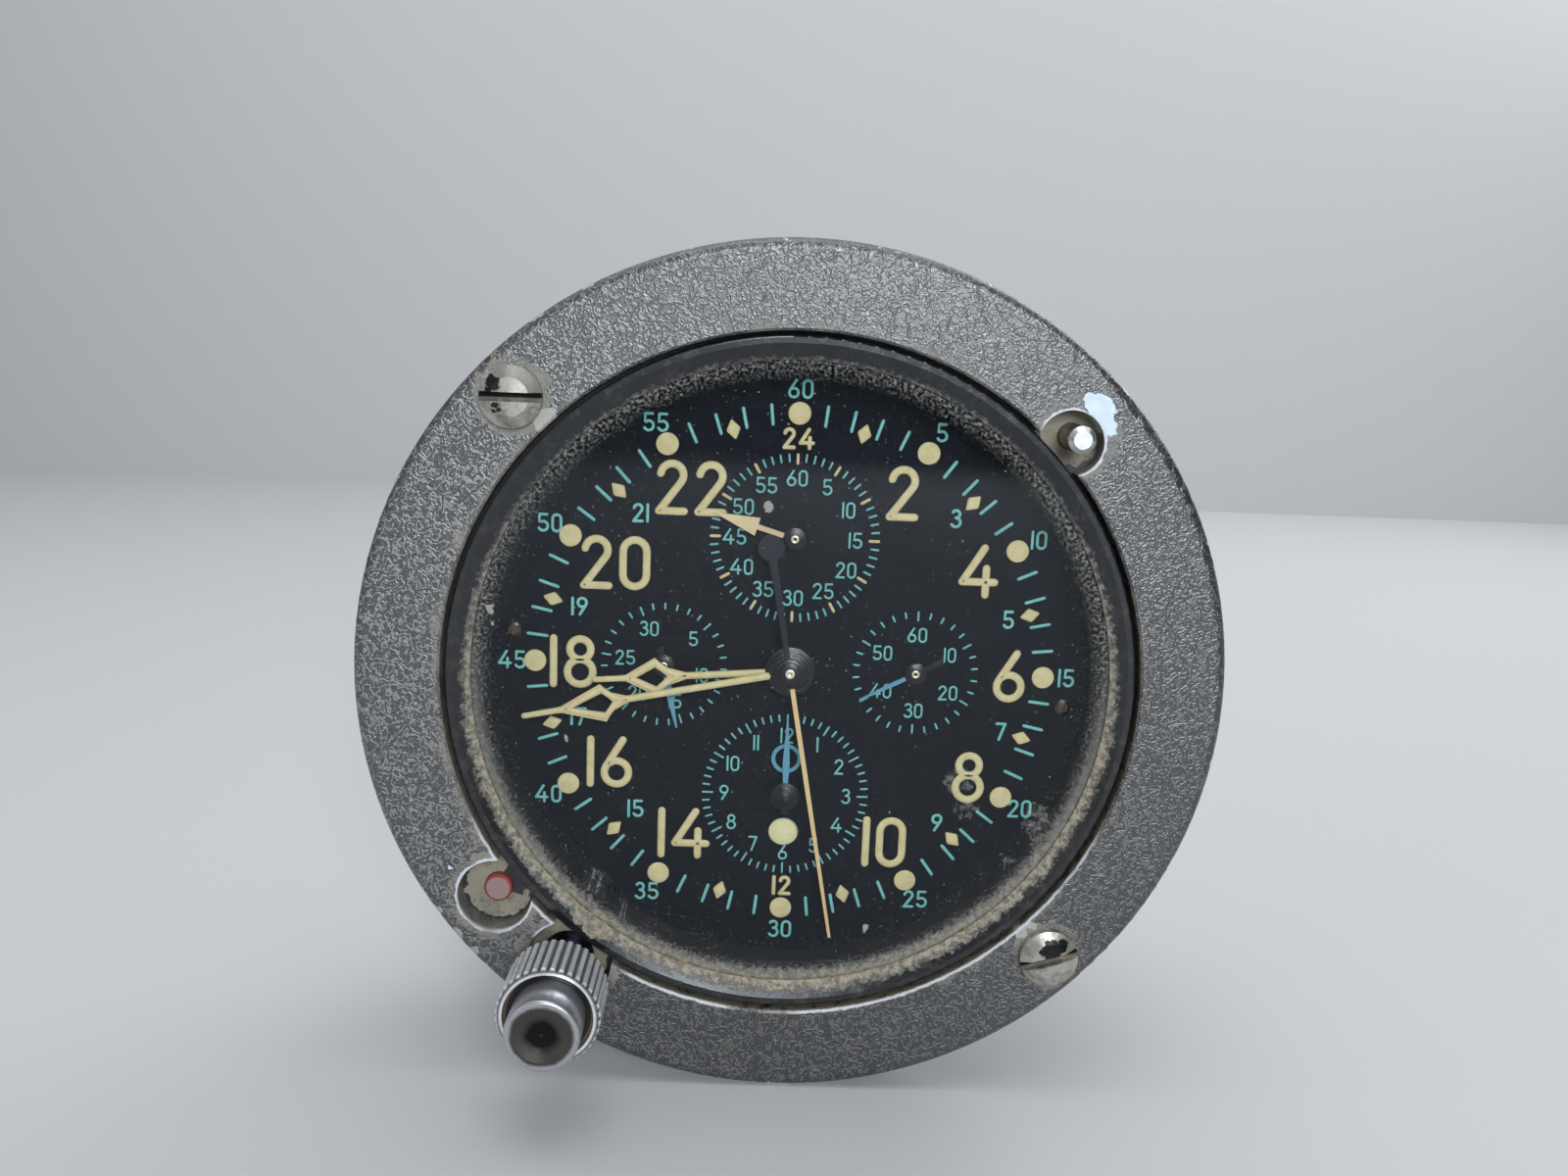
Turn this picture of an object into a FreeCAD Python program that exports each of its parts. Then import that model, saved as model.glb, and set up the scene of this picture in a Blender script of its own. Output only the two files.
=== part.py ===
"""Panel clock with a 24 hour dial, built as separate pieces.

The clock frame has x to the right, y up and z toward the viewer, and z is 0 in the
rear plane of the flange. Every piece is drawn in that frame and then stood upright,
so that the face looks along -Y and 12 o'clock points along +Z.
Lengths are in millimetres and angles in degrees.
"""
import FreeCAD, Part
import math
import os
import Sketcher

doc = FreeCAD.newDocument("panel_clock")
sheet = doc.addObject("Spreadsheet::Sheet", "sizes")
Vector = FreeCAD.Vector
pieces = []


class Size:
    """A number that remembers the spreadsheet expression that gives it."""

    def __init__(self, text, number):
        self.text = text
        self.number = number

    def __add__(self, other):
        other = as_size(other)
        return Size(f"({self.text} + {other.text})", self.number + other.number)

    def __sub__(self, other):
        other = as_size(other)
        return Size(f"({self.text} - {other.text})", self.number - other.number)

    def __mul__(self, other):
        other = as_size(other)
        return Size(f"({self.text} * {other.text})", self.number * other.number)

    def __truediv__(self, other):
        other = as_size(other)
        return Size(f"({self.text} / {other.text})", self.number / other.number)

    def __radd__(self, other):
        return as_size(other) + self

    def __rsub__(self, other):
        return as_size(other) - self

    def __rmul__(self, other):
        return as_size(other) * self

    def __rtruediv__(self, other):
        return as_size(other) / self

    def __neg__(self):
        return Size(f"(-1 * {self.text})", -self.number)


def as_size(value):
    """Turn a plain number into a Size, and leave a Size as it is."""
    if isinstance(value, Size):
        return value
    return Size(repr(float(value)), float(value))


def size(alias, number, note=""):
    """Write one driving dimension into the next row of the spreadsheet."""
    row = size.next_row
    size.next_row += 1
    sheet.set(f"A{row}", alias)
    sheet.set(f"B{row}", str(number))
    sheet.set(f"C{row}", note)
    sheet.setAlias(f"B{row}", alias)
    return Size(f"sizes.{alias}", float(number))


size.next_row = 1


def polar(radius, angle):
    """The x and y of a point at a radius and an angle from the +x axis."""
    radius = as_size(radius)
    angle = as_size(angle)
    turn = math.radians(angle.number)
    x = Size(f"({radius.text} * cos({angle.text}))", radius.number * math.cos(turn))
    y = Size(f"({radius.text} * sin({angle.text}))", radius.number * math.sin(turn))
    return x, y


def bind(owner, path, value):
    """Bind one property of an object to a size."""
    owner.setExpression(path, as_size(value).text)


def move_to(part, x=0, y=0, z=0):
    """Bind the place of an object in the clock frame."""
    for path, value in (("x", x), ("y", y), ("z", z)):
        bind(part, f"Placement.Base.{path}", value)


def rod(name, radius, low, high, x=0, y=0):
    """A cylinder between two heights."""
    part = doc.addObject("Part::Cylinder", name)
    bind(part, "Radius", radius)
    bind(part, "Height", as_size(high) - low)
    move_to(part, x, y, low)
    return part


def block(name, width, height, low, high, x=0, y=0):
    """A box between two heights, centred on a point."""
    part = doc.addObject("Part::Box", name)
    bind(part, "Length", width)
    bind(part, "Width", height)
    bind(part, "Height", as_size(high) - low)
    move_to(part, as_size(x) - as_size(width) / 2, as_size(y) - as_size(height) / 2, low)
    return part


def joined(name, parts):
    """Several overlapping or separate solids as one piece."""
    part = doc.addObject("Part::MultiFuse", name)
    part.Shapes = parts
    return part


def cut(name, base, tools):
    """A solid with other solids taken out of it."""
    part = doc.addObject("Part::Cut", name)
    part.Base = base
    part.Tool = tools[0] if len(tools) == 1 else joined(name + "_tools", tools)
    return part


def stand(part, label, x=0, y=0, z=0, turn=0):
    """Name a finished piece, stand it upright in its place and list it."""
    x, y, z = as_size(x), as_size(y), as_size(z)
    upright = FreeCAD.Rotation(Vector(1, 0, 0), 90)
    spin = FreeCAD.Rotation(Vector(0, 0, 1), as_size(turn).number)
    part.Label = label
    part.Placement = FreeCAD.Placement(Vector(x.number, -z.number, y.number), upright.multiply(spin))
    move_to(part, x, -z, y)
    pieces.append(part)
    return part


def new_body(name):
    """An empty PartDesign body."""
    return doc.addObject("PartDesign::Body", name)


def sketch_on(body, role, name, lift=0):
    """A sketch on one of the body's own origin planes, lifted along its normal."""
    plane = [item for item in body.Origin.OriginFeatures if item.Role == role][0]
    sketch = body.newObject("Sketcher::SketchObject", name)
    sketch.AttachmentSupport = (plane, "")
    sketch.MapMode = "FlatFace"
    bind(sketch, "AttachmentOffset.Base.z", lift)
    return sketch


def fix_point(sketch, element, position, x, y):
    """Hold a sketch point at two sizes measured from the origin."""
    for kind, axis, value in (("DistanceX", -2, as_size(x)), ("DistanceY", -1, as_size(y))):
        if abs(value.number) < 1e-9:
            sketch.addConstraint(Sketcher.Constraint("PointOnObject", element, position, axis))
        else:
            rule = Sketcher.Constraint(kind, -1, 1, element, position, value.number)
            index = sketch.addConstraint(rule)
            bind(sketch, f"Constraints[{index}]", value)


def draw_outline(sketch, points):
    """A closed outline of straight edges through the given points."""
    points = [(as_size(x), as_size(y)) for x, y in points]
    first = sketch.GeometryCount
    for here, there in zip(points, points[1:] + points[:1]):
        start = Vector(here[0].number, here[1].number, 0)
        end = Vector(there[0].number, there[1].number, 0)
        sketch.addGeometry(Part.LineSegment(start, end))
    last = first + len(points) - 1
    for edge in range(first, last + 1):
        following = first if edge == last else edge + 1
        sketch.addConstraint(Sketcher.Constraint("Coincident", edge, 2, following, 1))
    for edge, (x, y) in enumerate(points, first):
        fix_point(sketch, edge, 1, x, y)


def draw_circle(sketch, radius, x=0, y=0):
    """A circle of a given radius about a point."""
    radius, x, y = as_size(radius), as_size(x), as_size(y)
    middle = Vector(x.number, y.number, 0)
    circle = sketch.addGeometry(Part.Circle(middle, Vector(0, 0, 1), radius.number))
    fix_point(sketch, circle, 3, x, y)
    index = sketch.addConstraint(Sketcher.Constraint("Radius", circle, radius.number))
    bind(sketch, f"Constraints[{index}]", radius)


def turned(name, profile, body=None):
    """A body turned on the z axis; the profile holds pairs of radius and height."""
    body = body or new_body(name)
    sketch = sketch_on(body, "XZ_Plane", name + "_profile")
    draw_outline(sketch, profile)
    turning = body.newObject("PartDesign::Revolution", name + "_turning")
    turning.Profile = sketch
    turning.ReferenceAxis = (sketch, ["V_Axis"])
    turning.Angle = 360
    return body


def padded(name, low, high, draw):
    """A body raised from a sketch between two heights; draw fills the sketch."""
    body = new_body(name)
    sketch = sketch_on(body, "XY_Plane", name + "_outline", low)
    draw(sketch)
    pad = body.newObject("PartDesign::Pad", name + "_pad")
    pad.Profile = sketch
    bind(pad, "Length", as_size(high) - low)
    return body


def pocketed(body, name, high, depth, draw):
    """A pocket cut downwards from a height into a body."""
    sketch = sketch_on(body, "XY_Plane", name + "_outline", high)
    draw(sketch)
    pocket = body.newObject("PartDesign::Pocket", name)
    pocket.Profile = sketch
    bind(pocket, "Length", depth)
    return pocket


def ring_edges(shape, radius, height):
    """Names of the circular edges at one radius and height."""
    names = []
    for number, edge in enumerate(shape.Edges, 1):
        if isinstance(edge.Curve, Part.Circle):
            same_radius = abs(edge.Curve.Radius - as_size(radius).number) < 1e-6
            if same_radius and abs(edge.Curve.Center.z - as_size(height).number) < 1e-6:
                names.append(f"Edge{number}")
    return names


def soften(body, name, kind, amount, rings):
    """Fillet or chamfer the circular edges given as pairs of radius and height."""
    doc.recompute()
    tip = body.Tip
    names = []
    for radius, height in rings:
        names += ring_edges(tip.Shape, radius, height)
    dressing = body.newObject(f"PartDesign::{kind}", name)
    dressing.Base = (tip, names)
    bind(dressing, "Radius" if kind == "Fillet" else "Size", amount)
    return dressing


def repeat(body, name, feature, count):
    """Repeat a feature all round the z axis."""
    pattern = body.newObject("PartDesign::PolarPattern", name)
    pattern.Originals = [feature]
    pattern.Axis = (feature.Profile[0], ["N_Axis"])
    pattern.Angle = 360
    bind(pattern, "Occurrences", count)
    body.Tip = pattern
    return pattern


# Tooth proportions that all the wheels share, in modules or in parts of the pitch.
tooth_share = size("tooth_share", 0.32, "tooth width over the pitch at the pitch circle")
tooth_tip_share = size("tooth_tip_share", 0.35, "tip width over the pitch-circle width")
tooth_addendum = size("tooth_addendum", 0.8, "height above the pitch circle over the module")
tooth_dedendum = size("tooth_dedendum", 1.2, "depth below the pitch circle over the module")
leaf_limit = 14


def toothed(name, teeth, module, low, high, x=0, y=0, phase=0.0, bore=0):
    """A toothed wheel; phase is the angle in radians of the middle of its first tooth."""
    teeth = round(as_size(teeth).number)
    module, low, high, bore = (as_size(value).number for value in (module, low, high, bore))
    pitch = 2 * math.pi / teeth
    tip_radius = module * (teeth / 2 + tooth_addendum.number)
    root_radius = module * (teeth / 2 - tooth_dedendum.number)
    middle_half = pitch * tooth_share.number / 2
    tip_half = middle_half * tooth_tip_share.number
    root_half = middle_half if teeth < leaf_limit else 1.25 * middle_half
    corners = ((root_radius, -root_half), (tip_radius, -tip_half))
    corners += ((tip_radius, tip_half), (root_radius, root_half))
    points = []
    for tooth in range(teeth):
        middle = phase + tooth * pitch
        for radius, offset in corners:
            angle = middle + offset
            points.append(Vector(radius * math.cos(angle), radius * math.sin(angle), low))
    outline = Part.makePolygon(points + points[:1])
    shape = Part.Face(outline).extrude(Vector(0, 0, high - low))
    if bore:
        shape = shape.cut(Part.makeCylinder(bore, high - low, Vector(0, 0, low)))
    part = doc.addObject("Part::Feature", name)
    part.Shape = shape
    move_to(part, x, y, 0)
    return part


def meshed(phase, teeth, other_teeth, direction):
    """The phase of a wheel that meshes with one of a known phase.

    direction is the angle in radians from the first wheel's axis to the other one's.
    """
    teeth = round(as_size(teeth).number)
    other_teeth = round(as_size(other_teeth).number)
    share = ((direction - phase) * teeth / (2 * math.pi)) % 1
    return direction + math.pi - (0.5 - share) * 2 * math.pi / other_teeth


def heading(x1, y1, x2, y2):
    """The angle in radians from one axis to another."""
    dx = as_size(x2).number - as_size(x1).number
    dy = as_size(y2).number - as_size(y1).number
    return math.atan2(dy, dx)


# Case and flange

flange_thickness = size("flange_thickness", 3.2, "the flange's rear face bears at z = 0")
case_radius = size("case_radius", 39.0, "outside of the can, for a 79.4 mm panel hole")
flange_width = size("flange_width", 10.2, "from the can out to the flange's edge")
flange_radius = case_radius + flange_width
case_wall = size("case_wall", 1.6)
shoulder_step = size("shoulder_step", 0.8, "inner step that carries the movement")
case_depth = size("case_depth", 34.4, "from the flange's rear face to the can's rear edge")
can_step = size("can_step", 1.0, "the can is narrower behind the winding pod")
can_step_depth = size("can_step_depth", 14.0, "from the flange's rear face to the step")
can_rear_radius = case_radius - can_step
rear_rim_width = size("rear_rim_width", 2.6)
rear_rim_thickness = size("rear_rim_thickness", 2.0)
bezel_seat_depth = size("bezel_seat_depth", 2.2)
seat_clearance = size("seat_clearance", 0.1, "radial play of the parts stacked in the case")

bezel_overhang = size("bezel_overhang", 0.2, "bezel's outside beyond the can's")
bezel_radius = case_radius + bezel_overhang
bezel_height = size("bezel_height", 4.8, "from its seat to its crest")
bezel_crest_width = size("bezel_crest_width", 0.9)
bezel_slope_width = size("bezel_slope_width", 1.3)
bezel_slope_drop = size("bezel_slope_drop", 0.8)
bezel_edge_round = size("bezel_edge_round", 0.3)
bezel_lip_width = size("bezel_lip_width", 1.1, "how far the lip holds the glass")
bezel_lip_thickness = size("bezel_lip_thickness", 0.5)
bezel_rim_width = size("bezel_rim_width", 1.6, "from the glass out to the bezel's outside")
glass_radius = bezel_radius - bezel_rim_width
bezel_lip_radius = glass_radius - bezel_lip_width
glass_thickness = size("glass_thickness", 2.5)
gasket_thickness = size("gasket_thickness", 0.7)
gasket_width = size("gasket_width", 1.3)

dial_depth = size("dial_depth", 4.3, "from the flange's rear face back to the dial's face")
dial_thickness = size("dial_thickness", 0.6)
dial_margin = size("dial_margin", 1.85, "from the glass in to the dial that shows")
dial_window_radius = glass_radius - dial_margin
under_dial_space = size("under_dial_space", 4.0)
plate_thickness = size("plate_thickness", 1.6)
movement_height = size("movement_height", 15.0, "between the movement's two plates")
support_ring_width = size("support_ring_width", 1.6)

bezel_seat = flange_thickness - bezel_seat_depth
bezel_crest = bezel_seat + bezel_height
glass_rear = bezel_seat + gasket_thickness
glass_front = glass_rear + glass_thickness
dial_face = -dial_depth
dial_rear = dial_face - dial_thickness
plate_face = dial_rear - under_dial_space
plate_rear = plate_face - plate_thickness
back_face = plate_rear - movement_height
back_rear = back_face - plate_thickness
case_bore = case_radius - case_wall
stack_radius = case_bore - seat_clearance
case_rear = -case_depth

# Axes of the dial, from its centre

seconds_x = size("seconds_x", 15.0, "small seconds to the right of the centre")
date_x = size("date_x", 15.0, "date to the left of the centre")
register_y = size("register_y", 15.7, "minute register above the centre")
elapsed_y = size("elapsed_y", 15.7, "elapsed time below the centre")
indicator_y = size("indicator_y", 20.5)
indicator_radius = size("indicator_radius", 1.82)

# Controls, from the centre of the dial

pin_offset = size("pin_offset", 3.0, "the controls' axes, measured out from the can's wall")
set_offset = size("set_offset", 3.5)
knob_offset = size("knob_offset", 4.03)
pin_angle = size("pin_angle", 44.0)
set_angle = size("set_angle", 218.0)
knob_angle = size("knob_angle", 233.98)
pin_place = case_radius + pin_offset
set_place = case_radius + set_offset
knob_place = case_radius + knob_offset
pin_x, pin_y = polar(pin_place, pin_angle)
set_x, set_y = polar(set_place, set_angle)
knob_x, knob_y = polar(knob_place, knob_angle)
push_bore_radius = size("push_bore_radius", 2.5, "hole in the flange for a push pin's bush")
knob_bush_radius = size("knob_bush_radius", 3.1)

bolt_offset = size("bolt_offset", 5.45, "from the can out to the 3.5 inch bolt circle")
bolt_circle_radius = case_radius + bolt_offset
screw_angle = size("screw_angle", 135.0)
screw_hole_radius = size("screw_hole_radius", 1.9)
mount_screws = [polar(bolt_circle_radius, screw_angle), polar(bolt_circle_radius, screw_angle + 180)]

train_axis_radius = case_radius / 2
barrel_x, barrel_y = polar(train_axis_radius, knob_angle)
transfer_teeth = size("transfer_teeth", 20)
ratchet_teeth = size("ratchet_teeth", 28)
winding_teeth = size("winding_teeth", 8)
winding_module = (knob_place - train_axis_radius) / (
    ratchet_teeth / 2 + transfer_teeth + winding_teeth / 2)
transfer_place = train_axis_radius + winding_module * (ratchet_teeth + transfer_teeth) / 2
transfer_x, transfer_y = polar(transfer_place, knob_angle)
winding_lift = size("winding_lift", 0.2, "gap between the front plate and the winding wheels")
winding_thickness = size("winding_thickness", 0.9)
winding_low = plate_face + winding_lift
winding_high = winding_low + winding_thickness
window_margin = size("window_margin", 0.4, "room round the transfer wheel where it passes the case")
window_radius = winding_module * (transfer_teeth / 2 + tooth_addendum) + window_margin


def beside(radius, angle, side):
    """A point at a radius and angle, moved sideways by a distance."""
    x, y = polar(radius, angle)
    dx, dy = polar(side, angle + 90)
    return x + dx, y + dy


def slot_corners(inside, outside, half_width):
    """Corners of a radial slot in the direction of the knob."""
    return (beside(inside, knob_angle, -half_width), beside(outside, knob_angle, -half_width),
            beside(outside, knob_angle, half_width), beside(inside, knob_angle, half_width))


def case_profile():
    """Wall of the can with its flange, bezel seat, inner shoulder and rear rim."""
    shoulder = case_bore - shoulder_step
    rim_inside = shoulder - rear_rim_width
    rim_front = case_rear + rear_rim_thickness
    seat_radius = bezel_radius + seat_clearance
    step_front = -can_step_depth
    return ((rim_inside, case_rear), (can_rear_radius, case_rear),
            (can_rear_radius, step_front - can_step), (case_radius, step_front), (case_radius, 0),
            (flange_radius, 0), (flange_radius, flange_thickness),
            (seat_radius, flange_thickness), (seat_radius, bezel_seat),
            (case_bore, bezel_seat), (case_bore, plate_rear), (shoulder, plate_rear),
            (shoulder, rim_front), (rim_inside, rim_front))


cover_screw_count = size("cover_screw_count", 4)
cover_screw_inset = size("cover_screw_inset", 2.5, "cover screws, in from the can's outside")
cover_screw_place = can_rear_radius - cover_screw_inset
cover_screw_radius = size("cover_screw_radius", 0.9)
cover_screw_angle = size("cover_screw_angle", 20.0)


def cover_screw_circles(sketch, radius):
    """One circle at the first cover screw."""
    x, y = polar(cover_screw_place, cover_screw_angle)
    draw_circle(sketch, radius, x, y)


def winding_window(sketch):
    """The circle through which the transfer wheel reaches the winding pinion."""
    draw_circle(sketch, window_radius, transfer_x, transfer_y)


def build_case():
    """The can and flange: one piece, with the holes for screws and controls."""
    body = turned("case_wall_and_flange", case_profile())

    def holes(sketch):
        for x, y in mount_screws:
            draw_circle(sketch, screw_hole_radius, x, y)
        draw_circle(sketch, push_bore_radius, pin_x, pin_y)
        draw_circle(sketch, push_bore_radius, set_x, set_y)
        draw_circle(sketch, knob_bush_radius, knob_x, knob_y)

    pocketed(body, "case_flange_holes", flange_thickness, flange_thickness, holes)
    rear_hole = pocketed(body, "case_screw_hole", case_rear + rear_rim_thickness,
                         rear_rim_thickness, lambda sketch: cover_screw_circles(sketch, cover_screw_radius))
    repeat(body, "case_screw_holes", rear_hole, cover_screw_count)
    pocketed(body, "case_winding_window", winding_high + window_margin,
             winding_thickness + 1.5 * window_margin, winding_window)
    pod = pod_outline("pod_seat_outside", pod_radius, 0, pod_seat_depth)
    can = rod("pod_seat_can", case_radius, -1, pod_seat_depth + 1)
    seat = cut("pod_seat", pod, [can])
    return stand(cut("case_body_seated", body, [seat]), "case_body")


# Ring, bezel, glass and dial

ring_overhang = size("ring_overhang", 0.2, "ring's edge beyond the flange's")
ring_radius = flange_radius + ring_overhang
ring_gap = size("ring_gap", 0.45, "groove between the bezel and the ring")
ring_bore_radius = bezel_radius + ring_gap
ring_thickness = size("ring_thickness", 3.2)
ring_edge_round = size("ring_edge_round", 1.2)
ring_bore_break = size("ring_bore_break", 0.25)
pin_notch_radius = size("pin_notch_radius", 3.6)
set_notch_radius = size("set_notch_radius", 4.3)
knob_notch_radius = size("knob_notch_radius", 5.0)
knob_notch_inset = size("knob_notch_inset", 0.83, "the knob's notch, in from the knob's axis")
pin_notch_inset = size("pin_notch_inset", 0.8)
ring_front = flange_thickness + ring_thickness


def build_ring():
    """Mounting ring, notched where the controls stand beside the bezel."""
    body = turned("mounting_ring", ((ring_bore_radius, flange_thickness), (ring_radius, flange_thickness),
                                    (ring_radius, ring_front), (ring_bore_radius, ring_front)))
    soften(body, "ring_rounding", "Fillet", ring_edge_round, [(ring_radius, ring_front)])
    soften(body, "ring_break", "Chamfer", ring_bore_break, [(ring_bore_radius, ring_front)])

    def openings(sketch):
        for x, y in mount_screws:
            draw_circle(sketch, screw_hole_radius, x, y)
        draw_circle(sketch, pin_notch_radius, *polar(pin_place - pin_notch_inset, pin_angle))
        draw_circle(sketch, set_notch_radius, set_x, set_y)
        draw_circle(sketch, knob_notch_radius, *polar(knob_place - knob_notch_inset, knob_angle))

    pocketed(body, "ring_openings", ring_front, ring_thickness, openings)
    return stand(body, "mounting_ring")


screw_radius = size("screw_radius", 1.75, "the thread that stands behind the flange")
screw_neck_radius = size("screw_neck_radius", 1.55, "plain neck through the ring and the flange")
screw_lead = size("screw_lead", 0.2)
screw_head_radius = size("screw_head_radius", 3.4)
screw_head_rim = size("screw_head_rim", 1.0)
screw_head_height = size("screw_head_height", 1.9)
screw_stand_out = size("screw_stand_out", 7.0, "shank behind the flange's rear face")
screw_slot_width = size("screw_slot_width", 1.0)
screw_slot_depth = size("screw_slot_depth", 1.0)
slot_turns = (0.0, 17.0)


def slotted_screw(name, shank, head, rim, height, seat, slot, depth, turn):
    """A low domed screw on a shank; seat is the height under its head."""
    body = turned(name, shank + ((head, seat), (head, seat + rim),
                                 (head * 0.62, seat + height * 0.93), (0, seat + height)))
    half = slot / 2

    def groove(sketch):
        draw_outline(sketch, ((-head - 1, -half), (head + 1, -half), (head + 1, half), (-head - 1, half)))

    pocketed(body, name + "_slot", seat + height, depth, groove)
    body.Placement = FreeCAD.Placement(Vector(0, 0, 0), FreeCAD.Rotation(Vector(0, 0, 1), turn))
    return body


def build_mounting_screws():
    """The two slotted screws through the ring and the flange."""
    end = -screw_stand_out
    shank = ((0, end), (screw_radius - screw_lead, end), (screw_radius, end + screw_lead),
             (screw_radius, 0), (screw_neck_radius, 0), (screw_neck_radius, ring_front))
    screws = []
    for number, ((x, y), turn) in enumerate(zip(mount_screws, slot_turns), 1):
        screw = slotted_screw(f"mounting_screw_{number}", shank, screw_head_radius, screw_head_rim,
                              screw_head_height, ring_front, screw_slot_width, screw_slot_depth, turn)
        move_to(screw, x, y, 0)
        screws.append(screw)
    return stand(joined("mounting_screws", screws), "mounting_screws")


def build_bezel():
    """Turned bezel whose lip holds the glass."""
    slope_end = bezel_radius - bezel_crest_width - bezel_slope_width
    lip_front = glass_front + bezel_lip_thickness
    inside = glass_radius + seat_clearance
    body = turned("bezel", ((inside, bezel_seat), (bezel_radius, bezel_seat), (bezel_radius, bezel_crest),
                            (bezel_radius - bezel_crest_width, bezel_crest),
                            (slope_end, bezel_crest - bezel_slope_drop), (bezel_lip_radius, lip_front),
                            (bezel_lip_radius, glass_front), (inside, glass_front)))
    soften(body, "bezel_rounding", "Fillet", bezel_edge_round, [(bezel_radius, bezel_crest)])
    return stand(body, "bezel")


def flat_ring(name, inner, outer, low, high):
    """A plain flat ring."""
    return turned(name, ((inner, low), (outer, low), (outer, high), (inner, high)))


def build_glass_stack():
    """Glass, its gasket, the reflector below it and the ring under the dial."""
    glass = turned("glass", ((0, glass_rear), (glass_radius, glass_rear), (glass_radius, glass_front),
                             (0, glass_front)))
    stand(glass, "glass")
    gasket = flat_ring("glass_gasket", glass_radius - gasket_width, glass_radius, bezel_seat, glass_rear)
    stand(gasket, "glass_gasket")
    outer = stack_radius
    reflector = turned("reflector_ring", ((dial_window_radius, dial_face), (outer, dial_face),
                                          (outer, bezel_seat), (glass_radius - gasket_width, bezel_seat)))
    stand(reflector, "reflector_ring")
    support = flat_ring("dial_support_ring", outer - support_ring_width, outer, plate_face, dial_rear)
    pocketed(support, "support_window", dial_rear, under_dial_space, winding_window)
    stand(support, "dial_support_ring")


dial_screw_inset = size("dial_screw_inset", 4.2, "dial screws, in from the dial's edge")
dial_screw_place = stack_radius - dial_screw_inset
dial_screw_angles = (size("dial_screw_left", 173.6), size("dial_screw_right", -6.2))
dial_screw_turn = size("dial_screw_turn", 35.0, "how far each slot is turned from the one before")
dial_screw_radius = size("dial_screw_radius", 0.45)
dial_screw_head_radius = size("dial_screw_head_radius", 0.95)
dial_screw_head = size("dial_screw_head", 0.5)
running_clearance = size("running_clearance", 0.04, "radial play of an arbor in its bearing")
hour_tube_radius = size("hour_tube_radius", 1.9)
sub_tube_radius = size("sub_tube_radius", 0.8)
dial_clearance = size("dial_clearance", 0.25, "radial gap between a hand's arbor and the dial")
dial_screws_at = [polar(dial_screw_place, angle) for angle in dial_screw_angles]


def build_dial():
    """Dial with the holes for the hands, the indicator and its two screws."""
    def outline(sketch):
        draw_circle(sketch, stack_radius)
        draw_circle(sketch, hour_tube_radius + dial_clearance)
        for x, y in ((seconds_x, 0), (-date_x, 0), (0, register_y), (0, -elapsed_y)):
            draw_circle(sketch, sub_tube_radius + dial_clearance, x, y)
        draw_circle(sketch, indicator_radius, 0, -indicator_y)
        for x, y in dial_screws_at:
            draw_circle(sketch, dial_screw_radius, x, y)

    stand(padded("dial", dial_rear, dial_face, outline), "dial")
    end = plate_face - plate_thickness / 2
    shank = ((0, end), (dial_screw_radius, end), (dial_screw_radius, dial_face))
    screws = []
    for number, (x, y) in enumerate(dial_screws_at, 1):
        screw = slotted_screw(f"dial_screw_{number}", shank, dial_screw_head_radius, dial_screw_head * 0.6,
                              dial_screw_head, dial_face, dial_screw_radius * 0.5, dial_screw_head * 0.5,
                              dial_screw_turn.number * number)
        move_to(screw, x, y, 0)
        screws.append(screw)
    stand(joined("dial_screws", screws), "dial_screws")


indicator_disc_radius = size("indicator_disc_radius", 6.2)
indicator_disc_thickness = size("indicator_disc_thickness", 0.3)
indicator_offset = size("indicator_offset", 4.0, "indicator's axis below its window")
indicator_axis_y = -indicator_y - indicator_offset


def build_indicator():
    """Colour disc that turns behind the round window in the dial."""
    front = dial_rear - end_shake
    disc = rod("indicator_face", indicator_disc_radius, front - indicator_disc_thickness, front,
               0, indicator_axis_y)
    stem = rod("indicator_stem", running_pin / 2, plate_rear + end_shake,
               front - indicator_disc_thickness / 2, 0, indicator_axis_y)
    stand(joined("indicator_disc", [disc, stem]), "indicator_disc")


cover_inset = size("cover_inset", 0.6, "cover's edge, in from the can's")
cover_radius = can_rear_radius - cover_inset
cover_thickness = size("cover_thickness", 1.6)
cover_gasket_thickness = size("cover_gasket_thickness", 0.5)
cover_rim_width = size("cover_rim_width", 7.9)
cover_rib_radius = cover_radius - cover_rim_width
cover_dish = size("cover_dish", 0.6)
cover_screw_head = size("cover_screw_head", 0.9, "height of a cover screw's head")
cover_front = case_rear - cover_gasket_thickness
cover_rear = cover_front - cover_thickness


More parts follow.
